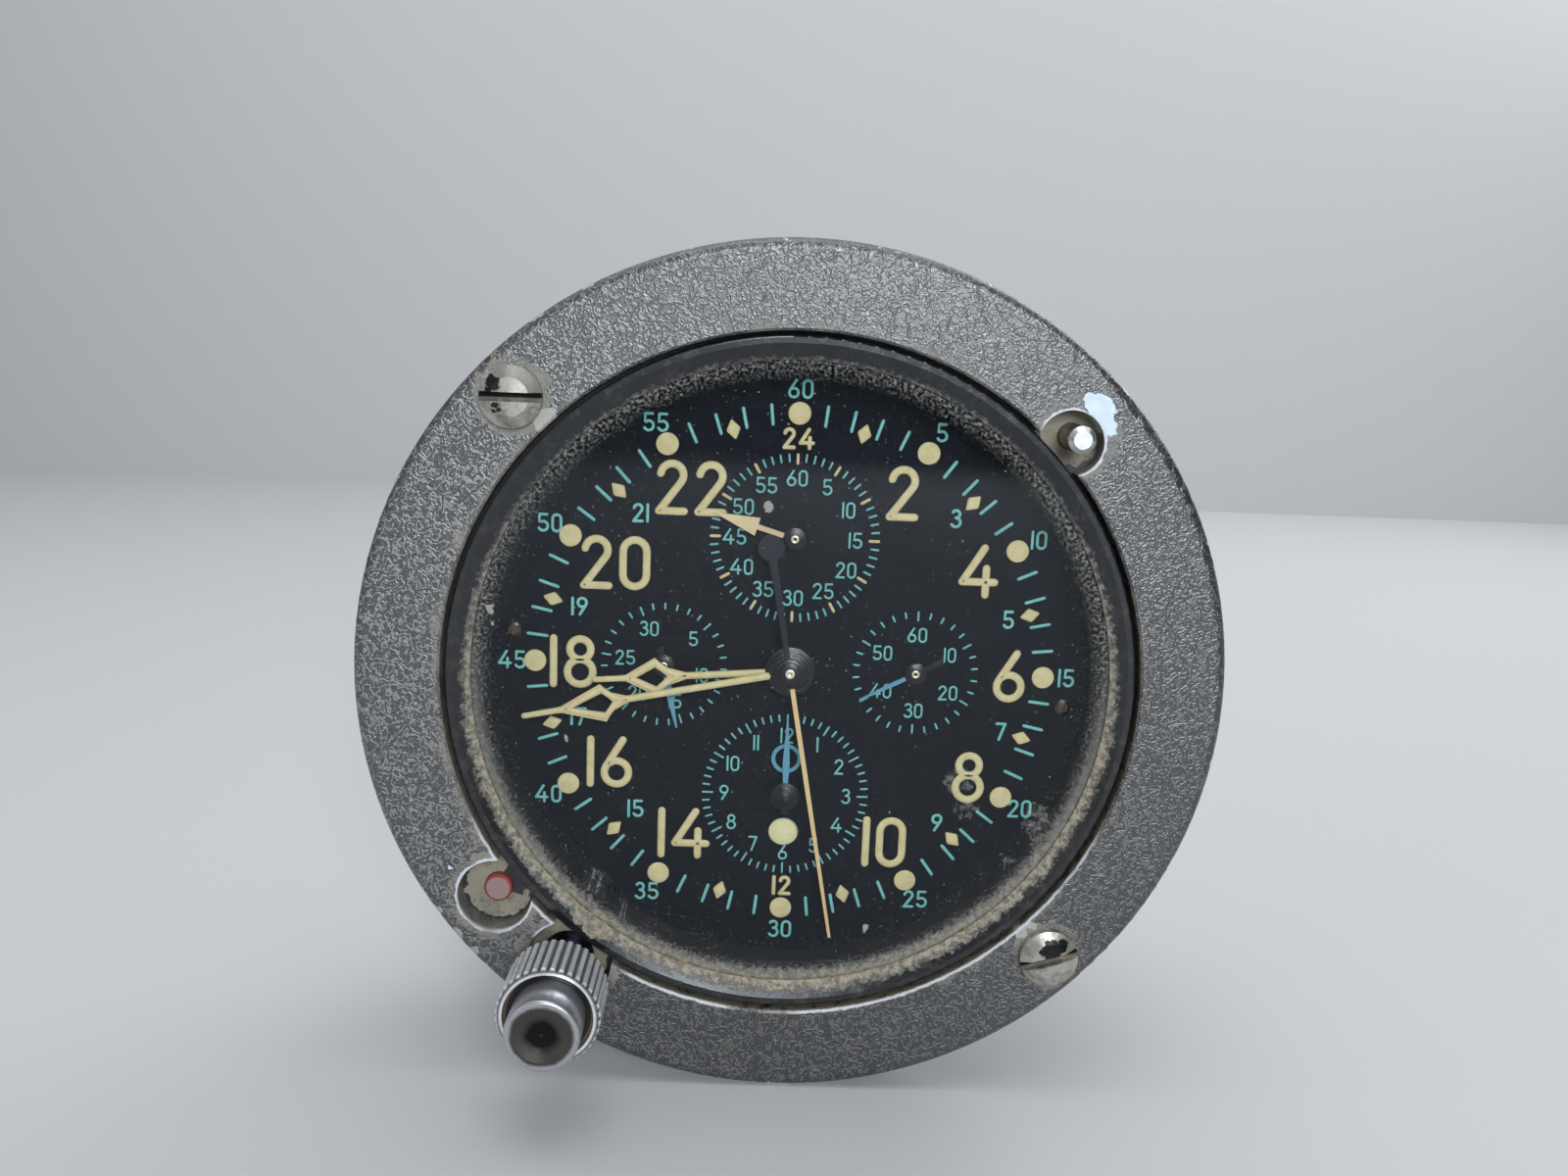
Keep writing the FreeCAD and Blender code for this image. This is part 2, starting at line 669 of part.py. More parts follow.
def build_rear_cover():
    """Rear cover, its gasket and its screws."""
    gasket = flat_ring("cover_gasket", case_bore - shoulder_step - rear_rim_width, cover_radius,
                       cover_front, case_rear)
    hole = pocketed(gasket, "gasket_screw_hole", case_rear, cover_gasket_thickness,
                    lambda sketch: cover_screw_circles(sketch, cover_screw_radius))
    repeat(gasket, "gasket_screw_holes", hole, cover_screw_count)
    stand(gasket, "cover_gasket")
    cover = turned("rear_cover", ((0, cover_rear + cover_dish), (cover_rib_radius, cover_rear + cover_dish),
                                  (cover_rib_radius + 1, cover_rear), (cover_radius - 0.5, cover_rear),
                                  (cover_radius, cover_rear + 0.5), (cover_radius, cover_front),
                                  (0, cover_front)))
    hole = pocketed(cover, "cover_screw_hole", cover_front, cover_thickness,
                    lambda sketch: cover_screw_circles(sketch, cover_screw_radius))
    repeat(cover, "cover_screw_holes", hole, cover_screw_count)
    stand(cover, "rear_cover")
    screws = []
    for number in range(round(cover_screw_count.number)):
        angle = cover_screw_angle + 360 / cover_screw_count * number
        x, y = polar(cover_screw_place, angle)
        shank = rod(f"cover_screw_shank_{number}", cover_screw_radius, cover_rear,
                    case_rear + rear_rim_thickness, x, y)
        top = cover_rear - cover_screw_head
        head = rod(f"cover_screw_head_{number}", cover_screw_radius * 1.9, top, cover_rear, x, y)
        slot = block(f"cover_screw_slot_{number}", 5 * cover_screw_radius, cover_screw_head * 0.55, top,
                     top + cover_screw_head / 2, x, y)
        screw = joined(f"cover_screw_body_{number}", [shank, head])
        screws.append(cut(f"cover_screw_{number}", screw, [slot]))
    stand(joined("cover_screws", screws), "cover_screws")


# Movement: axes, heights and tooth counts

third_x = size("third_x", 8.98)
third_y = size("third_y", 6.0)
escape_x = size("escape_x", 20.09)
escape_y = size("escape_y", -6.07)
pallet_x = size("pallet_x", 18.32)
pallet_y = size("pallet_y", -9.54)
balance_x = size("balance_x", 15.32)
balance_y = size("balance_y", -15.42)
intermediate_x = size("intermediate_x", -11.2)
intermediate_y = size("intermediate_y", 1.02)
minute_wheel_x = size("minute_wheel_x", 7.42)
minute_wheel_y = size("minute_wheel_y", 7.42)

barrel_teeth = size("barrel_teeth", 60)
intermediate_leaves = size("intermediate_leaves", 10)
intermediate_teeth = size("intermediate_teeth", 48)
centre_leaves = size("centre_leaves", 12)
centre_teeth = size("centre_teeth", 48)
third_leaves = size("third_leaves", 6)
third_teeth = size("third_teeth", 45)
fourth_leaves = size("fourth_leaves", 6)
fourth_teeth = size("fourth_teeth", 48)
escape_leaves = size("escape_leaves", 6)
escape_teeth = size("escape_teeth", 15)
cannon_leaves = size("cannon_leaves", 10)
minute_teeth = size("minute_teeth", 40)
minute_leaves = size("minute_leaves", 6)
hour_teeth = size("hour_teeth", 36)
date_teeth = size("date_teeth", 31)

wheel_thickness = size("wheel_thickness", 0.9)
pinion_overlap = size("pinion_overlap", 0.6, "how far a pinion stands past its wheel")
arbor_radius = size("arbor_radius", 0.7)
running_pin = size("running_pin", 0.8, "diameter of the pivots")
end_shake = size("end_shake", 0.1)
sweep_arbor_radius = size("sweep_arbor_radius", 0.5)
centre_tube_radius = size("centre_tube_radius", 0.9)
cannon_radius = size("cannon_radius", 1.3)
barrel_arbor_radius = size("barrel_arbor_radius", 1.5)

centre_wheel_height = size("centre_wheel_height", 2.0, "from the front plate back to the wheel")
third_wheel_height = size("third_wheel_height", 5.5)
fourth_wheel_height = size("fourth_wheel_height", 8.1)
barrel_front_height = size("barrel_front_height", 4.0)
barrel_depth = size("barrel_depth", 6.0)
intermediate_height = size("intermediate_height", 10.6)
escape_height = size("escape_height", 11.4)
balance_height = size("balance_height", 13.0)
cannon_lift = size("cannon_lift", 0.5, "from the front plate up to the cannon pinion's teeth")
hour_wheel_lift = size("hour_wheel_lift", 1.8)


def distance(x1, y1, x2, y2):
    """The distance between two axes as a plain number."""
    dx = as_size(x2).number - as_size(x1).number
    dy = as_size(y2).number - as_size(y1).number
    return math.hypot(dx, dy)


def shared_module(teeth, other_teeth, x1, y1, x2, y2):
    """The module with which two wheels mesh on two given axes."""
    return 2 * distance(x1, y1, x2, y2) / (teeth.number + other_teeth.number)


def tip_radius(teeth, module):
    """Outer radius of a toothed wheel."""
    return module * (teeth.number / 2 + tooth_addendum.number)


def wheel_span(height):
    """Rear and front heights of a wheel that lies behind the front plate."""
    front = plate_rear - height
    return front - wheel_thickness, front


def pivoted(name, x, y, front=None):
    """An arbor between the plates with a pivot in each."""
    pivot = running_pin / 2
    middle = rod(name + "_arbor", arbor_radius, back_face + end_shake, plate_rear - end_shake, x, y)
    end = plate_face if front is None else front
    pin = rod(name + "_pivots", pivot, back_rear + end_shake, end, x, y)
    return [middle, pin]


barrel_module = shared_module(barrel_teeth, intermediate_leaves, barrel_x, barrel_y,
                              intermediate_x, intermediate_y)
great_module = shared_module(intermediate_teeth, centre_leaves, intermediate_x, intermediate_y, 0, 0)
centre_module = shared_module(centre_teeth, third_leaves, 0, 0, third_x, third_y)
third_module = shared_module(third_teeth, fourth_leaves, third_x, third_y, seconds_x, 0)
fourth_module = shared_module(fourth_teeth, escape_leaves, seconds_x, 0, escape_x, escape_y)
motion_module = shared_module(cannon_leaves, minute_teeth, 0, 0, minute_wheel_x, minute_wheel_y)
hour_module = shared_module(minute_leaves, hour_teeth, 0, 0, minute_wheel_x, minute_wheel_y)

barrel_rear = plate_rear - barrel_front_height - barrel_depth
barrel_front = plate_rear - barrel_front_height
barrel_wall = size("barrel_wall", 0.8)
barrel_floor = size("barrel_floor", 1.0)
barrel_radius = size("barrel_radius", 13.4)


def build_train():
    """Wheels of the going train from the barrel to the escape wheel."""
    low, high = barrel_rear, barrel_rear + barrel_floor
    rim = toothed("barrel_rim", barrel_teeth, barrel_module, low, high, barrel_x, barrel_y, 0.0)
    drum = rod("barrel_drum_outside", barrel_radius, low, barrel_front - barrel_wall, barrel_x, barrel_y)
    hollow = rod("barrel_drum_inside", barrel_radius - barrel_wall, high, barrel_front, barrel_x, barrel_y)
    bore = rod("barrel_drum_bore", barrel_arbor_radius + running_clearance, barrel_rear - 1,
               barrel_front + 1, barrel_x, barrel_y)
    stand(cut("barrel_drum", joined("barrel_drum_body", [rim, drum]), [hollow, bore]), "barrel_drum")
    lid = rod("barrel_lid", barrel_radius, barrel_front - barrel_wall, barrel_front, barrel_x, barrel_y)
    lid_bore = rod("barrel_lid_bore", barrel_arbor_radius + running_clearance,
                   barrel_front - barrel_wall - 1, barrel_front + 1, barrel_x, barrel_y)
    stand(cut("barrel_cover", lid, [lid_bore]), "barrel_cover")

    phase = meshed(0.0, barrel_teeth, intermediate_leaves,
                   heading(barrel_x, barrel_y, intermediate_x, intermediate_y))
    rear, front = wheel_span(intermediate_height)
    wheel = toothed("intermediate_rim", intermediate_teeth, great_module, rear, front,
                    intermediate_x, intermediate_y, 0.0)
    pinion = toothed("intermediate_pinion", intermediate_leaves, barrel_module, rear,
                     barrel_rear + barrel_floor + pinion_overlap, intermediate_x, intermediate_y, phase)
    parts = pivoted("intermediate", intermediate_x, intermediate_y)
    stand(joined("intermediate_wheel", [wheel, pinion] + parts), "intermediate_wheel")

    phase = meshed(0.0, intermediate_teeth, centre_leaves, heading(intermediate_x, intermediate_y, 0, 0))
    low, high = rear - pinion_overlap, front + pinion_overlap
    rear, front = wheel_span(centre_wheel_height)
    pinion = toothed("centre_pinion", centre_leaves, great_module, low, high, 0, 0, phase)
    wheel = toothed("centre_rim", centre_teeth, centre_module, rear, front, 0, 0, 0.0)
    tube = rod("centre_tube", centre_tube_radius, back_rear + end_shake, plate_face + hour_wheel_lift)
    hole = rod("centre_bore", sweep_arbor_radius + running_clearance, back_rear - 1, 0)
    stand(cut("centre_wheel", joined("centre_body", [pinion, wheel, tube]), [hole]), "centre_wheel")

    phase = meshed(0.0, centre_teeth, third_leaves, heading(0, 0, third_x, third_y))
    low, high = rear - pinion_overlap, front + pinion_overlap
    rear, front = wheel_span(third_wheel_height)
    pinion = toothed("third_pinion", third_leaves, centre_module, low, high, third_x, third_y, phase)
    wheel = toothed("third_rim", third_teeth, third_module, rear, front, third_x, third_y, 0.0)
    stand(joined("third_wheel", [pinion, wheel] + pivoted("third", third_x, third_y)), "third_wheel")

    phase = meshed(0.0, third_teeth, fourth_leaves, heading(third_x, third_y, seconds_x, 0))
    low, high = rear - pinion_overlap, front + pinion_overlap
    rear, front = wheel_span(fourth_wheel_height)
    pinion = toothed("fourth_pinion", fourth_leaves, third_module, low, high, seconds_x, 0, phase)
    wheel = toothed("fourth_rim", fourth_teeth, fourth_module, rear, front, seconds_x, 0, 0.0)
    parts = pivoted("fourth", seconds_x, 0, dial_face + sub_hand_lift)
    stand(joined("fourth_wheel", [pinion, wheel] + parts), "fourth_wheel")

    phase = meshed(0.0, fourth_teeth, escape_leaves, heading(seconds_x, 0, escape_x, escape_y))
    low, high = rear - pinion_overlap, front + pinion_overlap
    pinion = toothed("escape_pinion", escape_leaves, fourth_module, low, high, escape_x, escape_y, phase)
    rear = plate_rear - escape_height - escape_thickness
    wheel = escape_rim(rear, plate_rear - escape_height)
    parts = pivoted("escape", escape_x, escape_y)
    stand(joined("escape_wheel", [pinion, wheel] + parts), "escape_wheel")


escape_radius = size("escape_radius", 3.2)
escape_tooth_height = size("escape_tooth_height", 0.9)
escape_thickness = size("escape_thickness", 0.6)
escape_hook_share = size("escape_hook_share", 0.3, "lean of a tooth over the pitch")


def escape_rim(low, high):
    """Escape wheel with pointed teeth that lean forward."""
    teeth = round(escape_teeth.number)
    pitch = 2 * math.pi / teeth
    root = escape_radius.number - escape_tooth_height.number
    lean = escape_hook_share.number * pitch
    points = []
    for tooth in range(teeth):
        start = tooth * pitch
        for radius, angle in ((root, start), (escape_radius.number, start + lean),
                              (escape_radius.number, start + 1.3 * lean), (root, start + 0.45 * pitch)):
            points.append(Vector(radius * math.cos(angle), radius * math.sin(angle), low.number))
    face = Part.Face(Part.makePolygon(points + points[:1]))
    part = doc.addObject("Part::Feature", "escape_rim")
    part.Shape = face.extrude(Vector(0, 0, high.number - low.number))
    move_to(part, escape_x, escape_y, 0)
    return part


fork_arm = size("fork_arm", 2.7, "sideways reach of the pallets")
fork_reach = size("fork_reach", 1.45, "how far the pallets stand toward the escape wheel")
fork_length = size("fork_length", 4.9, "from the fork's axis to its prongs")
fork_width = size("fork_width", 0.7)
fork_notch = size("fork_notch", 0.7)
balance_radius = size("balance_radius", 5.6)
balance_rim = size("balance_rim", 0.9)
balance_thickness = size("balance_thickness", 1.0)
roller_radius = size("roller_radius", 1.5)
roller_pin_place = size("roller_pin_place", 1.1)
roller_pin_radius = size("roller_pin_radius", 0.2)


def build_escapement():
    """Pallet fork and balance."""
    rear = plate_rear - escape_height - escape_thickness
    front = plate_rear - escape_height
    half = fork_width / 2
    tip = fork_arm + half

    def outline(sketch):
        prong = fork_notch
        draw_outline(sketch, ((-tip, -fork_reach), (-fork_arm + half, -fork_reach),
                              (-fork_arm + half, -half), (fork_arm - half, -half),
                              (fork_arm - half, -fork_reach), (tip, -fork_reach),
                              (tip, half), (half, fork_width), (half, fork_length - 2 * prong),
                              (prong, fork_length - prong), (prong, fork_length),
                              (0.5 * half, fork_length), (0, fork_length - prong),
                              (-0.5 * half, fork_length), (-prong, fork_length),
                              (-prong, fork_length - prong), (-half, fork_length - 2 * prong),
                              (-half, fork_width), (-tip, half)))

    fork = padded("pallet_lever", rear, front, outline)
    turn = math.degrees(heading(pallet_x, pallet_y, balance_x, balance_y) - math.pi / 2)
    fork.Placement = FreeCAD.Placement(Vector(0, 0, 0), FreeCAD.Rotation(Vector(0, 0, 1), turn))
    move_to(fork, pallet_x, pallet_y, 0)
    stand(joined("pallet_fork", [fork] + pivoted("pallet", pallet_x, pallet_y)), "pallet_fork")

    rear = plate_rear - balance_height - balance_thickness
    front = plate_rear - balance_height
    ring = rod("balance_outside", balance_radius, rear, front, balance_x, balance_y)
    hollow = rod("balance_inside", balance_radius - balance_rim, rear - 1, front + 1, balance_x, balance_y)
    rim = cut("balance_ring", ring, [hollow])
    arm = block("balance_arm", 2 * balance_radius - balance_rim, 1.1, rear, front, balance_x, balance_y)
    cross = block("balance_cross", 1.1, 2 * balance_radius - balance_rim, rear, front, balance_x, balance_y)
    hub = rod("balance_roller", roller_radius, rear, front + 0.4, balance_x, balance_y)
    toward = math.degrees(heading(balance_x, balance_y, pallet_x, pallet_y))
    pin_dx, pin_dy = polar(roller_pin_place, toward)
    pin = rod("balance_pin", roller_pin_radius, front, front + 1.4, balance_x + pin_dx, balance_y + pin_dy)
    parts = pivoted("balance", balance_x, balance_y)
    stand(joined("balance_wheel", [rim, arm, cross, hub, pin] + parts), "balance_wheel")


# Hands and the work under the dial

hand_thickness = size("hand_thickness", 0.25)
sub_hand_lift = size("sub_hand_lift", 0.45, "from the dial up to the lower small hands")
second_sub_lift = size("second_sub_lift", 0.95)
hour_hand_lift = size("hour_hand_lift", 1.5)
minute_hand_lift = size("minute_hand_lift", 2.2)
sweep_hand_lift = size("sweep_hand_lift", 2.9)
hour_hand_angle = size("hour_hand_angle", -265.6, "angles at rest, from 12 o'clock")
minute_hand_angle = size("minute_hand_angle", -258.5)
sweep_hand_angle = size("sweep_hand_angle", -169.6)
register_hand_angle = size("register_hand_angle", -286.6)
seconds_hand_angle = size("seconds_hand_angle", -242.5)
date_hand_angle = size("date_hand_angle", -167.5)


def hand_blade(name, low, hub, bore, points, hollow=None):
    """A flat hand that points to 12 o'clock: a pierced hub and a blade."""
    body = padded(name, low, low + hand_thickness,
                  lambda sketch: (draw_circle(sketch, hub), draw_circle(sketch, bore)))
    sketch = sketch_on(body, "XY_Plane", name + "_blade_outline", low)
    draw_outline(sketch, points)
    if hollow:
        draw_outline(sketch, hollow)
    blade = body.newObject("PartDesign::Pad", name + "_blade")
    blade.Profile = sketch
    bind(blade, "Length", hand_thickness)
    return body


def both_sides(points):
    """An outline that runs up the right side of a hand and down the left one."""
    return tuple(points) + tuple((-x, y) for x, y in reversed(points) if as_size(x).number > 0)


def skeleton_hand(name, lift, hub, bore, split, widest, close, tip, half, stroke):
    """A hand whose stem flares into an open lozenge and closes to a point."""
    line = stroke / 2
    bend = split + (widest - split) * 0.6
    late = split + (widest - split) * 0.8
    points = both_sides(((line, (hub + bore) / 2), (line, split), (half * 0.36 + line * 1.1, bend),
                         (half * 0.64 + line * 1.25, late), (half + line * 1.4, widest),
                         (line, close + line), (line * 0.5, tip), (0, tip + line)))
    hollow = both_sides(((0, split + (widest - split) * 0.6), (half * 0.64 - line * 1.25, late),
                         (half - line * 1.4, widest), (0, close - stroke)))
    return hand_blade(name, dial_face + lift, hub, bore, points, hollow)


def add_pad(body, name, low, draw):
    """Add another flat shape to a hand."""
    sketch = sketch_on(body, "XY_Plane", name + "_outline", low)
    draw(sketch)
    pad = body.newObject("PartDesign::Pad", name)
    pad.Profile = sketch
    bind(pad, "Length", hand_thickness)


def needle_hand(name, lift, hub, bore, length, tail, width, tip, belly):
    """A slender hand with a tail; belly is its width where it is widest."""
    low = dial_face + lift
    root = (hub + bore) / 2
    points = both_sides(((width / 2, root), (belly / 2, length * 0.42), (tip / 2, length)))
    body = hand_blade(name, low, hub, bore, points)
    add_pad(body, name + "_tail", low, lambda sketch: draw_outline(
        sketch, ((-width / 2, -root), (-width * 0.8, -tail), (width * 0.8, -tail), (width / 2, -root))))
    return body


hand_stroke = size("hand_stroke", 0.8, "width of the strokes of the two large hands")
lozenge_half_width = size("lozenge_half_width", 1.75)
hour_hub_radius = size("hour_hub_radius", 2.6)
hour_hand_split = size("hour_hand_split", 12.3, "from the centre to where the hand opens")
hour_hand_widest = size("hour_hand_widest", 15.9)
hour_hand_close = size("hour_hand_close", 19.0)
hour_hand_length = size("hour_hand_length", 23.0)
minute_hub_radius = size("minute_hub_radius", 2.3)
minute_hand_split = size("minute_hand_split", 19.5)
minute_hand_widest = size("minute_hand_widest", 22.4)
minute_hand_close = size("minute_hand_close", 27.0)
minute_hand_length = size("minute_hand_length", 31.9)
sweep_hub_radius = size("sweep_hub_radius", 1.6)
sweep_hand_length = size("sweep_hand_length", 33.5)
sweep_hand_width = size("sweep_hand_width", 0.55)
sweep_hand_tip = size("sweep_hand_tip", 0.35)
sweep_tail_length = size("sweep_tail_length", 13.8)
sweep_weight_radius = size("sweep_weight_radius", 1.55)
sweep_weight_place = size("sweep_weight_place", 15.1)
sub_hub_radius = size("sub_hub_radius", 1.25)
sub_hand_width = size("sub_hand_width", 0.5)
sub_hand_tip = size("sub_hand_tip", 0.2)
leaf_width = size("leaf_width", 0.85, "widest part of the date and elapsed hands")
small_seconds_length = size("small_seconds_length", 7.4)
small_seconds_tail = size("small_seconds_tail", 3.6)
date_hand_length = size("date_hand_length", 7.8)
sub_hand_tail = size("sub_hand_tail", 2.2)
register_hand_length = size("register_hand_length", 10.0)
register_hand_width = size("register_hand_width", 0.6)
register_head_width = size("register_head_width", 2.2)
register_head_start = size("register_head_start", 4.6)
elapsed_minute_length = size("elapsed_minute_length", 9.7)
elapsed_hour_length = size("elapsed_hour_length", 6.9)
elapsed_ring_place = size("elapsed_ring_place", 4.7)
elapsed_ring_radius = size("elapsed_ring_radius", 1.8)
elapsed_ring_width = size("elapsed_ring_width", 0.45)


def build_hands():
    """The eight hands, each turned to where the clock stopped."""
    hour = skeleton_hand("hour_hand", hour_hand_lift, hour_hub_radius, hour_tube_radius,
                         hour_hand_split, hour_hand_widest, hour_hand_close, hour_hand_length,
                         lozenge_half_width, hand_stroke)
    stand(hour, "hour_hand", 0, 0, 0, hour_hand_angle)
    minute = skeleton_hand("minute_hand", minute_hand_lift, minute_hub_radius, cannon_radius,
                           minute_hand_split, minute_hand_widest, minute_hand_close, minute_hand_length,
                           lozenge_half_width, hand_stroke)
    stand(minute, "minute_hand", 0, 0, 0, minute_hand_angle)
    sweep = needle_hand("sweep_seconds_hand", sweep_hand_lift, sweep_hub_radius, sweep_arbor_radius,
                        sweep_hand_length, sweep_tail_length, sweep_hand_width, sweep_hand_tip,
                        sweep_hand_width)
    add_pad(sweep, "sweep_weight", dial_face + sweep_hand_lift,
            lambda sketch: draw_circle(sketch, sweep_weight_radius, 0, -sweep_weight_place))
    stand(sweep, "sweep_seconds_hand", 0, 0, 0, sweep_hand_angle)

    low = dial_face + sub_hand_lift
    pivot = running_pin / 2
    half = register_hand_width / 2
    root = sub_hub_radius * 0.8
    points = both_sides(((half, root), (half, register_head_start),
                         (register_head_width / 2, register_head_start), (0, register_hand_length)))
    register = hand_blade("register_hand", low, sub_hub_radius, pivot, points)
    stand(register, "register_hand", 0, register_y, 0, register_hand_angle)
    seconds = needle_hand("small_seconds_hand", sub_hand_lift, sub_hub_radius, pivot, small_seconds_length,
                          small_seconds_tail, sub_hand_width, sub_hand_tip, sub_hand_width)
    stand(seconds, "small_seconds_hand", seconds_x, 0, 0, seconds_hand_angle)
    date = needle_hand("date_hand", sub_hand_lift, sub_hub_radius, pivot, date_hand_length,
                       sub_hand_tail, sub_hand_width, sub_hand_tip, leaf_width)
    stand(date, "date_hand", -date_x, 0, 0, date_hand_angle)

    half = sub_hand_width / 2
    ring_inside = elapsed_ring_radius - elapsed_ring_width
    points = both_sides(((half, root), (half, elapsed_ring_place - ring_inside)))
    elapsed_hour = hand_blade("elapsed_hour_hand", low, sub_hub_radius, sub_tube_radius, points)
    add_pad(elapsed_hour, "elapsed_ring", low, lambda sketch: (
        draw_circle(sketch, elapsed_ring_radius, 0, elapsed_ring_place),
        draw_circle(sketch, ring_inside, 0, elapsed_ring_place)))
    start = elapsed_ring_place + ring_inside + elapsed_ring_width / 2
    add_pad(elapsed_hour, "elapsed_tip", low, lambda sketch: draw_outline(
        sketch, both_sides(((half, start), (0, elapsed_hour_length)))))
    stand(elapsed_hour, "elapsed_hour_hand", 0, -elapsed_y, 0, 0)
    elapsed_minute = needle_hand("elapsed_minute_hand", second_sub_lift, sub_hub_radius, pivot,
                                 elapsed_minute_length, sub_hand_tail, sub_hand_width, sub_hand_tip,
                                 leaf_width)
    stand(elapsed_minute, "elapsed_minute_hand", 0, -elapsed_y, 0, 0)


heart_low = size("heart_low", 0.9, "smallest radius of a reset cam")
heart_high = size("heart_high", 1.8, "largest radius of a reset cam")
cam_lift = size("cam_lift", 0.3)
cam_thickness = size("cam_thickness", 0.7)
elapsed_cam_scale = 2.2  # the elapsed minutes' cam is larger and lies behind the front plate
date_module = size("date_module", 0.22)


def heart_cam(name, low, scale, x=0, y=0):
    """A heart-shaped reset cam; its radius grows evenly on both sides."""
    steps = 10
    points = []
    for step in range(-steps, steps):
        share = abs(step) / steps
        radius = scale * (heart_low.number + (heart_high.number - heart_low.number) * share)
        angle = math.pi * step / steps
        points.append(Vector(radius * math.cos(angle), radius * math.sin(angle), low.number))
    part = doc.addObject("Part::Feature", name)
    face = Part.Face(Part.makePolygon(points + points[:1]))
    part.Shape = face.extrude(Vector(0, 0, cam_thickness.number))
    move_to(part, x, y, 0)
    return part


def dial_arbor(name, x, y, top, wheel):
    """An arbor that pivots in the front plate and carries a small hand."""
    pivot = running_pin / 2
    low = plate_rear + end_shake
    pin = rod(name + "_pin", pivot, low, top, x, y)
    collar = rod(name + "_collar", arbor_radius, plate_face + end_shake, dial_rear - end_shake, x, y)
    return stand(joined(name, [pin, collar, wheel]), name)


def build_motion_work():
    """Cannon pinion, minute wheel and hour wheel, and the small arbors."""
    low = plate_face + cannon_lift
    high = low + wheel_thickness
    teeth = toothed("cannon_teeth", cannon_leaves, motion_module, low, high, 0, 0, 0.0)
    tube = rod("cannon_tube", cannon_radius, low, dial_face + minute_hand_lift + hand_thickness)
    inside = rod("cannon_inside", centre_tube_radius + running_clearance, low - 1,
                 plate_face + hour_wheel_lift + end_shake)
    bore = rod("cannon_bore", sweep_arbor_radius + running_clearance, low - 1, 0)
    stand(cut("cannon_pinion", joined("cannon_body", [teeth, tube]), [inside, bore]), "cannon_pinion")

    way = heading(0, 0, minute_wheel_x, minute_wheel_y)
    phase = meshed(0.0, cannon_leaves, minute_teeth, way)
    wheel = toothed("minute_rim", minute_teeth, motion_module, low, high,
                    minute_wheel_x, minute_wheel_y, phase)
    hour_low = plate_face + hour_wheel_lift
    hour_high = hour_low + wheel_thickness
    pinion = toothed("minute_pinion", minute_leaves, hour_module, low, hour_high + pinion_overlap / 2,
                     minute_wheel_x, minute_wheel_y, way + math.pi)
    bore = rod("minute_bore", arbor_radius, low - 1, dial_rear, minute_wheel_x, minute_wheel_y)
    stand(cut("minute_wheel", joined("minute_body", [wheel, pinion]), [bore]), "minute_wheel")
    post = rod("minute_post_shaft", arbor_radius - running_clearance, plate_rear,
               hour_high + pinion_overlap / 2 + end_shake, minute_wheel_x, minute_wheel_y)
    head = rod("minute_post_head", 1.5 * arbor_radius, hour_high + pinion_overlap / 2 + end_shake,
               hour_high + pinion_overlap / 2 + 4 * end_shake, minute_wheel_x, minute_wheel_y)
    stand(joined("minute_wheel_post", [post, head]), "minute_wheel_post")

    half_tooth = math.pi / round(hour_teeth.number)
    wheel = toothed("hour_rim", hour_teeth, hour_module, hour_low, hour_high, 0, 0, way + half_tooth)
    tube = rod("hour_tube", hour_tube_radius, hour_low, dial_face + hour_hand_lift + hand_thickness)
    bore = rod("hour_bore", cannon_radius + running_clearance, hour_low - 1, 0)
    stand(cut("hour_wheel", joined("hour_body", [wheel, tube]), [bore]), "hour_wheel")

    cam_low = plate_face + cam_lift
    top = dial_face + sub_hand_lift + hand_thickness
    star = toothed("date_star", date_teeth, date_module, cam_low, cam_low + cam_thickness, -date_x, 0, 0.0)
    dial_arbor("date_arbor", -date_x, 0, top, star)
    dial_arbor("register_arbor", 0, register_y, top, heart_cam("register_cam", cam_low, 1.0, 0, register_y))
    pivot = running_pin / 2
    cam_rear = plate_rear - end_shake - cam_thickness
    cam = heart_cam("elapsed_cam", cam_rear, elapsed_cam_scale, 0, -elapsed_y)
    pin = rod("elapsed_pin", pivot, cam_rear, dial_face + second_sub_lift + hand_thickness, 0, -elapsed_y)
    collar = rod("elapsed_collar", arbor_radius, plate_face + end_shake, cam_low + cam_thickness,
                 0, -elapsed_y)
    stand(joined("elapsed_minute_arbor", [pin, cam, collar]), "elapsed_minute_arbor")
    tube_low = cam_low + cam_thickness + end_shake
    tube = rod("elapsed_tube", sub_tube_radius, tube_low, top, 0, -elapsed_y)
    disc = rod("elapsed_disc", heart_high, tube_low, tube_low + cam_thickness, 0, -elapsed_y)
    bore = rod("elapsed_bore", pivot + running_clearance, tube_low - 1, 0, 0, -elapsed_y)
    stand(cut("elapsed_hour_tube", joined("elapsed_tube_body", [tube, disc]), [bore]), "elapsed_hour_tube")

    sweep = rod("sweep_rod", sweep_arbor_radius, back_rear - 2.2,
                dial_face + sweep_hand_lift + hand_thickness + 0.3)
    cam = heart_cam("sweep_cam", back_rear - 1.5, 2.0)
    stand(joined("sweep_arbor", [sweep, cam]), "sweep_arbor")


pillar_radius = size("pillar_radius", 1.8)
pillar_spigot_radius = size("pillar_spigot_radius", 1.0)
pillar_inset = size("pillar_inset", 4.3, "pillars, in from the front plate's edge")
pillar_place = stack_radius - pillar_inset
pillar_first_angle = size("pillar_first_angle", 60.0)
pillar_count = 3
back_plate_play = size("back_plate_play", 0.2)
back_plate_radius = case_bore - shoulder_step - back_plate_play
plate_screw_radius = size("plate_screw_radius", 0.8)
plate_screw_head = size("plate_screw_head", 1.6)
plate_screw_height = size("plate_screw_height", 1.0, "height of a plate screw's head")
plate_screw_depth = size("plate_screw_depth", 4.0, "threaded depth in a pillar")


